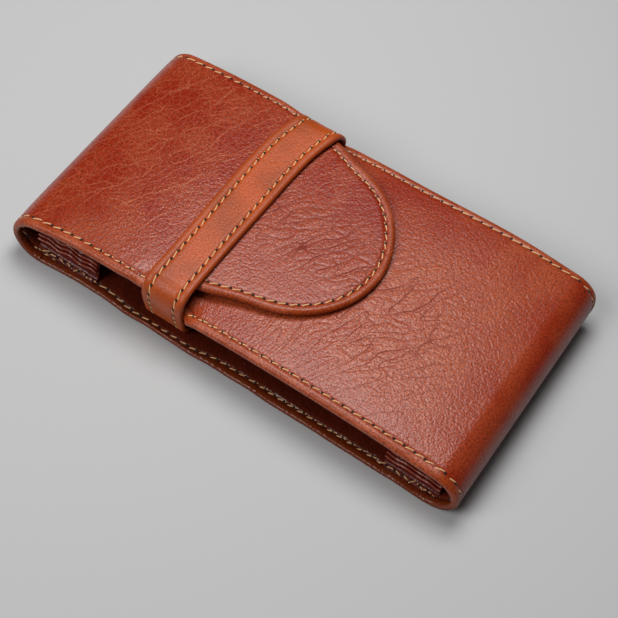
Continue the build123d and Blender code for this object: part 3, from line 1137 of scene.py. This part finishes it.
def waxed_leather(t, shader):
    """Waxed leather of the case: deep where it is smooth, rubbed and creased where it has been bent; painted
    sheen and shade.
    """
    finish = settings("finish")
    creased, pale, rim, low, worn = (mask(t, n) for n in ("creased", "pale", "rim", "low", "worn"))
    field = t.rise(rim, 2.4 * MM, 4.0 * MM)
    grain = grain_of(t, finish.grain, finish.crease, finish.stretch, t.times(creased, field), pale)
    pits, creases, veins, net, cloud = (grain[n] for n in ("Pits", "Creases", "Veins", "Net", "Cloud"))
    # Rubbing and painted sheen: the lighter colour is laid by a random cloud and by the mask of rubbing and
    # sheen
    wear_and_sheen = t.times_plus(t.rise(cloud, 0.35, 0.65), 0.25, t.times(worn, 0.85))
    edge = t.rise(rim, 1.6 * MM, 3.2 * MM, 1.0, 0.0)
    channel = t.times(t.rise(rim, 2.3 * MM, 3.0 * MM), t.rise(rim, 3.0 * MM, 3.7 * MM, 1.0, 0.0))
    rubbed = t.blend(t.rise(cloud, 0.4, 0.6), tone("burnish"), tone("worn"))
    base = t.blend(t.times(wear_and_sheen, 1.0, clamp=True), tone("deep"), tone("worn"))
    for factor, paint in ((t.times(t.times(net, field), t.times(pale, 0.3)), tone("vein")),
                          (t.times(creases, 0.95), tone("crack")),
                          (t.times(veins, 0.95, clamp=True), tone("vein")),
                          (t.times(edge, 0.85), rubbed),
                          (t.times(channel, 0.5), tone("crack")),
                          (t.times(pits, 0.6), tone("crack", 0.5)),
                          # painted shade: darker towards the table
                          (t.times(low, 0.85), tone("crack", 0.3))):
        base = t.blend(factor, base, paint)
    rough = t.times_plus(creases, 0.45, 0.24)
    for part, more in ((pits, 0.06), (low, 0.3), (edge, 0.1)):
        rough = t.times_plus(part, more, rough)
    t.dress(shader, base, rough, t.times(grain["Height"], t.times_plus(edge, -0.2, 1.0)))
    shader.inputs["Specular IOR Level"].default_value = SPECULAR


def plain_leather(t, shader, colour_name, rough, grain_size, creased, depth_share, rubbed):
    """A leather of one colour with fine grain, darker in its pits and cloudy over a few centimetres."""
    rim = mask(t, "rim")
    grain = grain_of(t, grain_size, settings("finish").crease, 1.3, creased, 0.0)
    dark = tone(colour_name, 0.35)
    base = t.blend(t.rise(grain["Cloud"], 0.3, 0.7), tone(colour_name, 0.85), tone(colour_name, 1.2))
    for factor, paint in ((t.times(grain["Pits"], 0.4), dark),
                          (t.times(grain["Creases"], 0.7), dark),
                          # Painted highlight: the wider band, up to 6 mm in from each edge, is lightened
                          # towards the rubbed colour. The narrow band is the burnished edge; on the holders'
                          # pleats both lay the painted crest highlight
                          (t.rise(rim, 1.5 * MM, 6 * MM, 0.3, 0.0), rubbed),
                          (t.rise(rim, 0.8 * MM, 2.2 * MM, 0.8, 0.0), rubbed)):
        base = t.blend(factor, base, paint)
    t.dress(shader, base, t.times_plus(grain["Pits"], 0.12, rough), t.times(grain["Height"], depth_share))
    shader.inputs["Specular IOR Level"].default_value = SPECULAR


def glossy_lining(t, shader):
    """Smooth, glossier leather inside the case."""
    # The lining's edges are lightened with dim burnish over a wide band, a painted highlight, besides the
    # burnished edge itself
    plain_leather(t, shader, "lining", 0.22, 1.1 * MM, 0.7, 1.6, tone("burnish", 0.55))


def matt_strap(t, shader):
    """Matt, finely grained tan leather of the strap."""
    plain_leather(t, shader, "strap", 0.36, 0.7 * MM, 0.0, 0.8, tone("burnish"))


def dark_holder(t, shader):
    """Thin dark red leather of the pen holders."""
    # The light pleat colour on the pleats' crests is a painted highlight
    plain_leather(t, shader, "holder", 0.26, 0.9 * MM, 0.3, 1.2, tone("fold"))


def waxed_thread(t, shader):
    """Waxed twisted thread."""
    place = t.add("ShaderNodeTexCoord").outputs["Object"]
    twist = t.add("ShaderNodeTexWave", {"Vector": place, "Scale": 900.0, "Distortion": 3.0},
                  bands_direction="DIAGONAL").outputs["Fac"]
    soil = t.add("ShaderNodeTexNoise", {"Vector": place, "Scale": 260.0, "Detail": 2.0}).outputs["Fac"]
    dark = tone("thread", 0.45)
    base = t.blend(t.times(twist, 0.3), tone("thread"), dark)
    base = t.blend(t.rise(soil, 0.5, 0.75, 0.0, 0.5), base, dark)
    t.dress(shader, base, t.times_plus(twist, 0.15, 0.4), t.times(twist, -0.06 * MM))


def needle_hole(t, shader):
    """Painted shade in the needle holes: a dark colour that stands in for the shadow inside each hole."""
    place = t.add("ShaderNodeTexCoord").outputs["Object"]
    soil = t.add("ShaderNodeTexNoise", {"Vector": place, "Scale": 1500.0}).outputs["Fac"]
    t.feed(shader.inputs["Base Color"], t.blend(soil, tone("hole"), tone("hole", 2)))
    shader.inputs["Roughness"].default_value = 0.8


def plain_floor(t, shader):
    """The even floor that the case lies on."""
    shader.inputs["Base Color"].default_value = (*settings("stage").floor, 1)
    shader.inputs["Roughness"].default_value = 0.8


PAINTERS = {"waxed_leather": waxed_leather, "glossy_lining": glossy_lining, "matt_strap": matt_strap,
            "dark_holder": dark_holder, "waxed_thread": waxed_thread, "needle_hole": needle_hole,
            "floor": plain_floor}


def material(name):
    """One of this add-on's materials, made the first time that it is asked for."""
    if name in bpy.data.materials:
        return bpy.data.materials[name]
    made = bpy.data.materials.new(name)
    made.use_nodes = True
    made.node_tree.nodes.clear()
    t = Tree(made.node_tree)
    shader = t.add("ShaderNodeBsdfPrincipled")
    t.add("ShaderNodeOutputMaterial", {"Surface": shader.outputs[0]})
    PAINTERS[name](t, shader)
    return made


# Operators


def layers():
    """The two layers of the strip of leather, each with its material."""
    return ("outer", material("waxed_leather")), ("lining", material("glossy_lining"))


class PENCASE_OT_back(bpy.types.Operator):
    """Make the flat back in its two layers"""

    bl_idname = "pen_case.back"
    bl_label = "Back"

    def execute(self, context):
        coarse = 1.2 * MM
        for layer, leather in layers():
            name = f"back_{layer}_leather"
            piece = band(name, back_stretch(), FLAP_FOLD_X, FRONT_FOLD_X, layer, leather, coarse)
            finish_layer(piece, layer, panels=["back"], body="base")
        return {"FINISHED"}


class PENCASE_OT_folds(bpy.types.Operator):
    """Make the leather round both ends, each in two halves"""

    bl_idname = "pen_case.folds"
    bl_label = "Folds"

    def execute(self, context):
        for end, cover in ENDS.items():
            stretch = fold_stretch(end)
            halves = {"high": (0, stretch.half_length), "low": (stretch.half_length, stretch.length)}
            bends = fold_bends(end)
            for half, (start, stop) in halves.items():
                bend_node = "upper_bend" if half == "high" else "lower_bend"
                nodes = [f"{cover}_{bend_node}", f"{cover}_spine"]
                for layer, leather in layers():
                    piece = band(f"{cover}_fold_{half}_{layer}", stretch, start, stop, layer, leather)
                    finish_layer(piece, layer, others=nodes, bend=bends[half])
        return {"FINISHED"}


class PENCASE_OT_flap(bpy.types.Operator):
    """Make the flap and its tongue in their two layers"""

    bl_idname = "pen_case.flap"
    bl_label = "Flap and tongue"

    def execute(self, context):
        for layer, leather in layers():
            piece = sheet_piece(f"flap_{layer}_leather", flap_stretch(), flap_outline(), layer, leather)
            finish_layer(piece, layer, panels=["flap"], others=["tongue"], body="flap")
        return {"FINISHED"}


class PENCASE_OT_front(bpy.types.Operator):
    """Make the front panel in its two layers"""

    bl_idname = "pen_case.front"
    bl_label = "Front panel"

    def execute(self, context):
        for layer, leather in layers():
            piece = sheet_piece(f"front_{layer}_leather", front_stretch(), front_outline(), layer, leather)
            finish_layer(piece, layer, panels=["front"], body="front")
        return {"FINISHED"}


def strap_route():
    """The strap seen from the end of the case, from its near foot over the top to its far foot."""
    box_low, box_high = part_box("strap_anchor_thread")
    foot_end = round(box_high.y, 4) - 2.3 * MM
    foot_half = STRAP_REACH - 2.7 * MM
    corners = [(-foot_end, SHELL), (-foot_half, SHELL), (-STRAP_REACH, STRAP_TOP_Z),
               (STRAP_REACH, STRAP_TOP_Z), (foot_half, SHELL), (foot_end, SHELL)]
    return Route(rounded_points(corners, settings("leather").strap_bend))


def strap_lay(route, along, across, depth, rim):
    """Points of the strap at a depth under its outer face."""
    flat, outs = route.at(along)
    groove, bead = seam_relief(rim, settings("thread").strap_seam)
    pull = np.clip(1 - depth / STRAP_OUTER, 0, 1)
    swell = 0.12 * MM * waves(np.stack([across, along, 0 * along], axis=1), 15 * MM, 57)
    flat = flat - outs * (depth + (groove - bead - swell) * pull)[:, None]
    taper = settings("leather").strap_taper / (2 * STRAP_HALF_WIDTH)
    narrowed = 1 - taper * (1 - smooth(-25 * MM, 15 * MM, flat[:, 0]))
    return strap_lie(np.column_stack([STRAP_X + across * narrowed, flat]))


class PENCASE_OT_strap(bpy.types.Operator):
    """Make the strap that crosses the case, in its two layers"""

    bl_idname = "pen_case.strap"
    bl_label = "Strap"

    def execute(self, context):
        cell, seam = settings("leather").cell, settings("thread").strap_seam
        route = strap_route()
        thickness = STRAP_OUTER + 0.7 * MM
        strap_layers = (("outer", 0.0, 0.9 * MM, "matt_strap", "strap_leather", "strap"),
                        ("lining", thickness, 0.5 * MM, "glossy_lining", "lining_leather", "strap_lining"))
        for layer, shown, radius, leather, slot, node in strap_layers:
            loop = section(STRAP_HALF_WIDTH, STRAP_OUTER, shown, radius, cell, seam)
            along, across, depth, faces = tube(spaced(0, route.length, cell), loop)
            rim = STRAP_HALF_WIDTH - np.abs(across)
            points = strap_lay(route, along, across, depth, rim)
            pattern = np.stack([along, across], axis=1)
            name = f"strap_{layer}_leather"
            piece = make_piece(name, points, faces, pattern, {"rim": rim}, material(leather))
            finish_piece(piece, slot, [node], body="base")
        return {"FINISHED"}


def pleat_reach(up):
    """How far a pleat stands out, at a share of the way up the pleats."""
    return settings("leather").pleat_reach * (1 - PLEAT_FADE * up)


def pleated_route(wall, flange, low, high):
    """One side of a pen holder seen from the end: a flange, a plain wall and pleats up to the cover."""
    plain_top = low + (high - low) * PLAIN_SHARE
    lift = 0.15 * MM
    corners = [(flange, low + lift), (wall - 0.1 * MM, low + lift), (wall, plain_top)]
    points = [tuple(p) for p in rounded_points(corners, 1.0 * MM)]
    steps = 240
    for i in range(1, steps + 1):
        up = i / steps
        fold = (0.5 - 0.5 * math.cos(2 * math.pi * settings("leather").pleats * up)) ** 2.5
        lean = wall + PLEAT_LEAN * up
        points.append((lean - pleat_reach(up) * fold, plain_top + (high - plain_top) * up))
    points.append((wall + 1.5 * MM, high - 0.1 * MM))
    return Route(points)


def holder_side(end, which):
    """One pleated side of a pen holder."""
    leather = settings("leather")
    pad_low, pad_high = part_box(f"{end}_pad")
    cover_low, cover_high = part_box(f"{end}_cover")
    wall, low, high = -cover_high.y, pad_high.z, cover_low.z
    mouth, inner, reach = (pad_high.x, pad_low.x, leather.fold_reach) if end == "head" else (
        pad_low.x, pad_high.x, -leather.fold_reach)
    low_x, high_x = sorted((mouth, inner - reach))
    half, middle = (high_x - low_x) / 2, (high_x + low_x) / 2
    route = pleated_route(wall, -(pad_high.y - 0.5 * MM), low, high)
    loop = section(half, 0.6 * MM, 0.0, 0.29 * MM, 0.5 * MM, 2 * MM)
    along, across, depth, faces = tube(spaced(0, route.length, 0.2 * MM), loop)
    flat, outs = route.at(along)
    flat_y, flat_z = (flat - outs * depth[:, None]).T
    x = middle + across
    loose = smooth(low, low + 4 * MM, flat_z) * (1 - smooth(high - 1 * MM, high, flat_z))
    wave = np.sin(2 * math.pi * x / leather.pleat_wave_run + 1.5 * flat_z / (high - low))
    wave = wave + 0.8 * along_row(x, 5 * MM, 19)
    z = flat_z + leather.pleat_wave * wave * loose
    y = flat_y + 0.25 * MM * waves(np.stack([x, 0 * x, z * 0.5], axis=1), 4 * MM, 13) * loose
    up = np.clip((flat_z - low) / (high - low), PLAIN_SHARE, 1)
    up = (up - PLAIN_SHARE) / (1 - PLAIN_SHARE)
    # crest: 1 on a pleat's crest, where the rim mask lays the light pleat colour as a painted highlight
    crest = np.clip((PLEAT_LEAN * up + wall - flat_y) / pleat_reach(up), 0, 1) ** 4 * (depth == 0)
    hand = 1 if which == "near" else -1
    points = np.stack([x, y * hand, z], axis=1)
    pattern = np.stack([across, along], axis=1)
    piece = make_piece(f"{end}_{which}_pleats", points, faces, pattern,
                       {"rim": PLAIN_RIM - CREST_RIM * crest}, material("dark_holder"))
    start, stop = (middle, y.mean(), low), (middle, y.mean(), high)
    finish_piece(piece, "holder_leather", [f"{end}_{which}_gusset"],
                 bend=("base", f"{end}_cover", start, stop))


def rounded_box(low, high, start, radius):
    """The outline of a plane box with rounded corners, from a place on its left side."""
    corners = [(low[0], start), (low[0], low[1]), (high[0], low[1]), (high[0], high[1]), (low[0], high[1]),
               (low[0], start)]
    return even_line(rounded_points(corners, radius), 0.8 * MM)[:-1]


def flat_sheet(name, low, high, rounding):
    """A thin sheet with rounded edges and a slightly uneven face, lying flat."""
    thick = high.z - low.z
    outline = rounded_box(low, high, 0, 1.2 * MM)
    points, faces, rim = plate(outline, False, 0.0, thick, rounding, 0.9 * MM, 2.5 * MM)
    x, y, height = points.T
    uneven = 0.12 * MM * waves(np.stack([x, y, 0 * x], axis=1), 6 * MM, 23) * height / thick
    laid = np.stack([x, y, low.z + height - np.abs(uneven)], axis=1)
    pattern = np.stack([x, y], axis=1)
    return make_piece(name, laid, faces, pattern, {"rim": rim + INNER_RIM}, material("dark_holder"))


def divider_sheets(end):
    """The upright webs between the pen lanes, each a thin sheet with a slight wave."""
    low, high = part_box(f"{end}_dividers")
    webs = [(low.y + high.y) / 2 + i * (high.y - low.y - 1 * MM) / 2 for i in (-1, 0, 1)]
    outline = rounded_box(low.xz, high.xz, 8 * MM, 1.0 * MM)
    half, cell = 0.45 * MM, 0.9 * MM
    every_point, every_face, rims = [], [], []
    for place in webs:
        points, faces, rim = plate(outline, False, -half, half, 0.3 * MM, cell, cell)
        x, z, depth = points.T
        sway = 0.5 * MM * waves(np.stack([x, 0 * x + place, z], axis=1), 7 * MM, 41)
        sway = sway * smooth(low.z, high.z, z)
        base = sum(len(p) for p in every_point)
        every_point.append(np.stack([x, place + depth + sway, z], axis=1))
        every_face += [tuple(v + base for v in face) for face in faces]
        rims.append(rim)
    points = np.concatenate(every_point)
    piece = make_piece(f"{end}_divider_webs", points, every_face, points[:, (0, 2)],
                       {"rim": np.concatenate(rims) + INNER_RIM}, material("dark_holder"))
    finish_piece(piece, "holder_leather", [f"{end}_dividers"], body="base")


class PENCASE_OT_holders(bpy.types.Operator):
    """Make both pen holders: pads, pleated sides, dividers and covers"""

    bl_idname = "pen_case.holders"
    bl_label = "Pen holders"

    def execute(self, context):
        for end in ENDS:
            for part, body, rounding in (("pad", "base", 0.4 * MM), ("cover", f"{end}_cover", 0.5 * MM)):
                piece = flat_sheet(f"{end}_{part}_sheet", *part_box(f"{end}_{part}"), rounding)
                finish_piece(piece, "holder_leather", [f"{end}_{part}"], body=body)
            for which in ("near", "far"):
                holder_side(end, which)
            divider_sheets(end)
        return {"FINISHED"}


def stitch_tree():
    """The tree that sews a stitch and a needle hole at each pitch along the lines it is given."""
    if "stitch_rows" in bpy.data.node_groups:
        return bpy.data.node_groups["stitch_rows"]
    inputs = {"Geometry": "Geometry"}
    inputs |= dict.fromkeys(("Pitch", "Stitch Length", "Thickness", "Slant", "Stray", "Hole Length"), "Float")
    inputs |= {"Seed": "Int", "Thread": "Material", "Hole": "Material"}
    t, given, results = node_group("stitch_rows", "GeometryNodeTree", inputs, {"Geometry": "Geometry"})
    lines = t.add("GeometryNodeMeshToCurve", {"Mesh": given["Geometry"]}).outputs[0]
    out = t.add("GeometryNodeInputNamedAttribute", {"Name": "out"}, data_type="FLOAT_VECTOR").outputs[0]

    def sewn(curve, piece, slant, paint):
        spots = t.add("GeometryNodeCurveToPoints", {"Curve": curve, "Length": given["Pitch"]}, mode="LENGTH")
        axes = {"Primary Axis": out, "Secondary Axis": spots.outputs["Tangent"]}
        facing = t.add("FunctionNodeAxesToRotation", axes, primary_axis="Z", secondary_axis="X")
        turn = t.add("FunctionNodeAxisAngleToRotation", {"Axis": (0, 0, 1), "Angle": slant})
        turns = {"Rotation": facing.outputs[0], "Rotate By": turn.outputs[0]}
        both = t.add("FunctionNodeRotateRotation", turns, rotation_space="LOCAL")
        placing = {"Points": spots.outputs["Points"], "Instance": piece, "Rotation": both.outputs[0]}
        placed = t.add("GeometryNodeInstanceOnPoints", placing)
        real = t.add("GeometryNodeRealizeInstances", {"Geometry": placed.outputs[0]})
        smoothed = t.add("GeometryNodeSetShadeSmooth", {"Geometry": real.outputs[0]})
        painted = t.add("GeometryNodeSetMaterial", {"Geometry": smoothed.outputs[0], "Material": paint})
        return painted.outputs[0]

    half, thick = t.times(given["Stitch Length"], 0.5), given["Thickness"]
    dip = t.times(thick, -0.3)
    line = {"Resolution": 6, "Start": t.vector(t.times(half, -1.0), 0.0, dip),
            "Middle": t.vector(0.0, 0.0, t.times(thick, 0.85)), "End": t.vector(half, 0.0, dip)}
    bow = t.add("GeometryNodeCurveQuadraticBezier", line).outputs[0]
    around = {"Resolution": 7, "Radius": t.times(thick, 0.5)}
    ring = t.add("GeometryNodeCurvePrimitiveCircle", around).outputs[0]
    sweep = {"Curve": bow, "Profile Curve": ring, "Fill Caps": True}
    stitch = t.add("GeometryNodeCurveToMesh", sweep).outputs[0]
    chance = {"Min": -1.0, "Max": 1.0, "Seed": given["Seed"]}
    stray = t.add("FunctionNodeRandomValue", chance, data_type="FLOAT").outputs["Value"]
    # Each needle hole is a small dark ball, painted shade standing in for the shadow inside the hole
    ball = t.add("GeometryNodeMeshUVSphere", {"Segments": 8, "Rings": 5, "Radius": 0.5}).outputs[0]
    wide = given["Hole Length"]
    size = t.vector(wide, t.times(wide, 0.95), t.times(wide, 0.55))
    raised_ball = {"Geometry": ball, "Scale": size, "Translation": (0, 0, 0.06 * MM)}
    hole = t.add("GeometryNodeTransform", raised_ball).outputs[0]
    later = t.add("GeometryNodeTrimCurve", {"Curve": lines}, mode="LENGTH")
    t.feed(later.inputs[4], t.times(given["Pitch"], 0.5))
    t.feed(later.inputs[5], t.add("GeometryNodeSplineLength").outputs[0])
    joined = t.add("GeometryNodeJoinGeometry")
    slant = t.times_plus(stray, given["Stray"], given["Slant"])
    t.feed(joined.inputs[0], sewn(lines, stitch, slant, given["Thread"]))
    t.feed(joined.inputs[0], sewn(later.outputs[0], hole, 0.0, given["Hole"]))
    t.feed(results[0], joined.outputs[0])
    return t.tree


def sew(name, rows, messy=False):
    """A mesh of stitches along rows, each given as its points and the directions its face looks."""
    thread = settings("thread")
    mesh = bpy.data.meshes.new(name)
    points = np.concatenate([p for p, _ in rows])
    outs = np.concatenate([o for _, o in rows])
    edges, base = [], 0
    for line, _ in rows:
        edges += [(base + i, base + i + 1) for i in range(len(line) - 1)]
        base += len(line)
    mesh.from_pydata(points, edges, [])
    layer = mesh.attributes.new("out", "FLOAT_VECTOR", "POINT")
    layer.data.foreach_set("vector", outs.astype(np.float32).ravel())
    piece = bpy.data.objects.new(name, mesh)
    bpy.context.scene.collection.objects.link(piece)
    tree = stitch_tree()
    modifier = piece.modifiers.new("stitch_rows", "NODES")
    modifier.node_group = tree
    pitch, stitch, thickness = HOLDER_STITCHES if messy else (1, 1, 1)
    values = {
        "Pitch": thread.pitch * pitch, "Stitch Length": thread.stitch * stitch,
        "Thickness": thread.thickness * thickness, "Slant": thread.slant,
        "Stray": thread.messy_slant if messy else math.radians(3), "Hole Length": thread.hole,
        "Seed": 7, "Thread": material("waxed_thread"), "Hole": material("needle_hole"),
    }
    for item in tree.interface.items_tree:
        if item.in_out == "INPUT" and item.name in values:
            modifier[item.identifier] = values[item.name]
    made = bpy.data.meshes.new_from_object(piece.evaluated_get(bpy.context.evaluated_depsgraph_get()))
    piece.modifiers.clear()
    piece.data = made
    made.name = name
    bpy.data.meshes.remove(mesh)
    return piece


def trimmed(points, outs, phase, pitch):
    """A row cut back so that its stitches keep step with the row before it."""
    lengths = run_lengths(points)
    start = (-phase) % pitch
    count = max(1, int((lengths[-1] - start) / pitch))
    marks = np.linspace(start, start + count * pitch, count * 6 + 1)
    marks = marks[marks <= lengths[-1]]
    return tuple(np.stack([np.interp(marks, lengths, part[:, i]) for i in range(3)], axis=1)
                 for part in (points, outs))


def stretch_row(stretch, along, across, face, phase=0.0, rim=None):
    """A row on a stretch, on its outer or inner face."""
    thread = settings("thread")
    rim = np.full(len(along), thread.seam) if rim is None else rim
    depth = np.full(len(along), 0.0 if face == "outer" else SHELL)
    points = stretch.lay(along, across, depth, rim)
    outs = stretch.face(along, across)[1] * (1 if face == "outer" else -1)
    if face == "outer":
        points -= outs * (0.22 * MM * (1 - off_table(points[:, 2])))[:, None]
    return trimmed(points, outs, phase, thread.pitch)


def edge_rows(stretch, start, end, phase=0.0):
    """Rows inside both long edges, on both faces."""
    thread = settings("thread")
    along = spaced(*sorted((start, end)), 0.5 * MM)
    along = along if start < end else along[::-1]
    rows = []
    for hand in (-1, 1):
        across = np.full(len(along), hand * (HALF_WIDTH - thread.seam))
        for face in ("outer", "inner"):
            rows.append(stretch_row(stretch, along, across, face, phase))
    return rows


def tongue_rows(stretch):
    """Rows round the tongue, on both faces."""
    thread = settings("thread")
    neck, *oval = [np.array(p) for p in tongue_half(thread.seam)]
    held = neck + (oval[0] - neck) * (STRAP_X - neck[0]) / (oval[0][0] - neck[0])
    line = even_line(mirrored([held] + oval), 0.5 * MM)
    return [stretch_row(stretch, line[:, 0], line[:, 1], face) for face in ("outer", "inner")]


def strap_rows():
    """Rows along both sides of the strap."""
    thread = settings("thread")
    route = strap_route()
    hidden = 14 * MM
    along = spaced(hidden, route.length - hidden, 0.4 * MM)
    rows = []
    for hand in (-1, 1):
        across = np.full(len(along), hand * (STRAP_HALF_WIDTH - thread.strap_seam))
        points = strap_lay(route, along, across, 0 * along, STRAP_HALF_WIDTH - np.abs(across))
        outs = np.column_stack([0 * along, route.at(along)[1]])
        rows.append(trimmed(points, outs, 0.0, thread.pitch))
    return rows


def straight_row(start, end, out=(0, 0, 1)):
    """A row between two points."""
    line = np.linspace(start, end, 30)
    outs = np.tile(np.array(out, float), (30, 1))
    return trimmed(line, outs, 0.0, settings("thread").pitch * HOLDER_STITCHES[0])


def holder_rows(end, part):
    """Rows on a pen holder's pad, beside its sides, or on its cover, inside its mouth."""
    low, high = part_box(f"{end}_{part}_thread")
    _, side_y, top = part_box(f"{end}_{part}")[1]
    if part == "pad":
        reach, above = side_y - 0.45 * MM, top + 0.1 * MM
        return [straight_row((low.x, y, above), (high.x, y, above)) for y in (-reach, reach)]
    x = (low.x + high.x) / 2
    return [straight_row((x, low.y, top), (x, high.y, top))]


class PENCASE_OT_stitches(bpy.types.Operator):
    """Sew every row of stitches"""

    bl_idname = "pen_case.stitches"
    bl_label = "Stitches"

    def execute(self, context):
        pitch = settings("thread").pitch
        done = []

        def sewn(name, rows, nodes, messy=False, **carried):
            piece = sew(name, rows, messy)
            finish_piece(piece, "thread", nodes, **carried)
            done.append(piece)

        for end, cover in ENDS.items():
            fold, bends = fold_stretch(end), fold_bends(end)
            half, nodes = fold.half_length, [f"{cover}_spine_thread"]
            sewn(f"{cover}_fold_high_stitches", edge_rows(fold, 0, half), nodes, bend=bends["high"])
            low_rows = edge_rows(fold, half, fold.length, half)
            sewn(f"{cover}_fold_low_stitches", low_rows, nodes, bend=bends["low"])
        flap_rows = edge_rows(flap_stretch(), flap_arc()[2] + pitch, FLAP_END_X + 1 * MM)
        flap_rows += tongue_rows(flap_stretch())
        back_rows = edge_rows(back_stretch(), FLAP_FOLD_X, FRONT_FOLD_X, fold_stretch("head").length)
        front_rows = edge_rows(front_stretch(), front_arc()[2] - pitch, FRONT_END_X + 0.5 * MM)
        sewn("flap_stitches", flap_rows, ["flap_thread", "tongue_thread"], body="flap")
        sewn("front_stitches", front_rows, ["front_thread"], body="front")
        sewn("back_stitches", back_rows, ["back_thread"], body="base")
        sewn("strap_stitches", strap_rows(), ["strap_thread"], body="base")
        low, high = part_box("strap_anchor_thread")
        level = high.z - 0.2 * MM
        anchors = [straight_row((low.x + 1 * MM, y, level), (high.x - 1 * MM, y, level))
                   for y in (low.y + 0.3 * MM, high.y - 0.3 * MM)]
        sewn("strap_anchor_stitches", anchors, ["strap_anchor_thread"], body="base")
        for end in ENDS:
            for part, messy, body in (("pad", True, "base"), ("cover", False, f"{end}_cover")):
                name = f"{end}_{part}"
                sewn(f"{name}_stitches", holder_rows(end, part), [f"{name}_thread"], messy, body=body)
        if not all(len(p.data.vertices) for p in done):
            raise RuntimeError("a row has no stitches")
        return {"FINISHED"}


def aim(azimuth, elevation):
    """Direction from the case towards a place at an azimuth and an elevation."""
    return Vector((math.sin(azimuth) * math.cos(elevation), -math.cos(azimuth) * math.cos(elevation),
                   math.sin(elevation)))


def soft_light(name, place, power):
    """A square soft light that looks at the case."""
    azimuth, elevation, distance, size = place
    data = bpy.data.lights.new(name, "AREA")
    data.shape, data.size, data.energy = "SQUARE", size, power
    lamp = bpy.data.objects.new(name, data)
    back = aim(math.radians(azimuth), math.radians(elevation))
    lamp.location = back * distance
    lamp.rotation_mode = "QUATERNION"
    lamp.rotation_quaternion = back.to_track_quat("Z", "Y")
    bpy.context.scene.collection.objects.link(lamp)


class PENCASE_OT_stage(bpy.types.Operator):
    """Make the floor, the lights and the camera"""

    bl_idname = "pen_case.stage"
    bl_label = "Stage"

    def execute(self, context):
        stage = settings("stage")
        scene = bpy.context.scene
        mesh = bpy.data.meshes.new("floor")
        corners = [(FLOOR_REACH * x, FLOOR_REACH * y, 0) for x, y in ((-1, -1), (1, -1), (1, 1), (-1, 1))]
        mesh.from_pydata(corners, [], [(0, 1, 2, 3)])
        mesh.materials.append(material("floor"))
        floor = bpy.data.objects.new("floor", mesh)
        scene.collection.objects.link(floor)
        back = aim(stage.azimuth, stage.elevation)
        right = Vector((0, 0, 1)).cross(back).normalized()
        up = back.cross(right)
        roll = Matrix.Rotation(stage.roll, 3, back)
        right, up = roll @ right, roll @ up
        camera = bpy.data.objects.new("camera", bpy.data.cameras.new("camera"))
        camera.data.lens = stage.lens
        camera.data.clip_start = 0.01
        place = right * stage.right + up * stage.up + back * stage.distance
        camera.matrix_world = Matrix.Translation(place) @ Matrix((right, up, back)).transposed().to_4x4()
        scene.collection.objects.link(camera)
        scene.camera = camera
        soft_light("key", KEY_PLACE, stage.key_power)
        soft_light("fill", FILL_PLACE, stage.fill_power)
        world = bpy.data.worlds.new("studio")
        world.use_nodes = True
        sky = world.node_tree.nodes["Background"]
        sky.inputs["Color"].default_value = (1, 1, 1, 1)
        sky.inputs["Strength"].default_value = stage.sky
        scene.world = world
        scene.view_settings.view_transform = "Standard"
        return {"FINISHED"}


OPERATORS = (PENCASE_OT_back, PENCASE_OT_folds, PENCASE_OT_flap, PENCASE_OT_front, PENCASE_OT_strap,
             PENCASE_OT_holders, PENCASE_OT_stitches, PENCASE_OT_stage)
GROUPS = {"leather": PENCASE_PG_leather, "thread": PENCASE_PG_thread, "finish": PENCASE_PG_finish,
          "stage": PENCASE_PG_stage}


class PENCASE_PT_panel(bpy.types.Panel):
    """Lists the pieces of the pen case and their sizes"""

    bl_label = "Pen Case"
    bl_idname = "PENCASE_PT_panel"
    bl_space_type = "VIEW_3D"
    bl_region_type = "UI"
    bl_category = "Pen Case"

    def draw(self, context):
        for operator in OPERATORS:
            self.layout.operator(operator.bl_idname)
        for name in GROUPS:
            box = self.layout.box()
            box.label(text=name.capitalize())
            for key in GROUPS[name].__annotations__:
                box.prop(settings(name), key)


def register():
    """Adds the classes and the scene's properties."""
    for made in (*GROUPS.values(), *OPERATORS, PENCASE_PT_panel):
        bpy.utils.register_class(made)
    for name, group in GROUPS.items():
        setattr(bpy.types.Scene, "pen_case_" + name, PointerProperty(type=group))


def unregister():
    """Takes them away again."""
    for name in GROUPS:
        delattr(bpy.types.Scene, "pen_case_" + name)
    for made in reversed((*GROUPS.values(), *OPERATORS, PENCASE_PT_panel)):
        bpy.utils.unregister_class(made)


def main():
    register()
    for name in ("back", "folds", "flap", "front", "strap", "holders", "stitches", "stage"):
        getattr(bpy.ops.pen_case, name)()


if __name__ == "__main__":
    main()
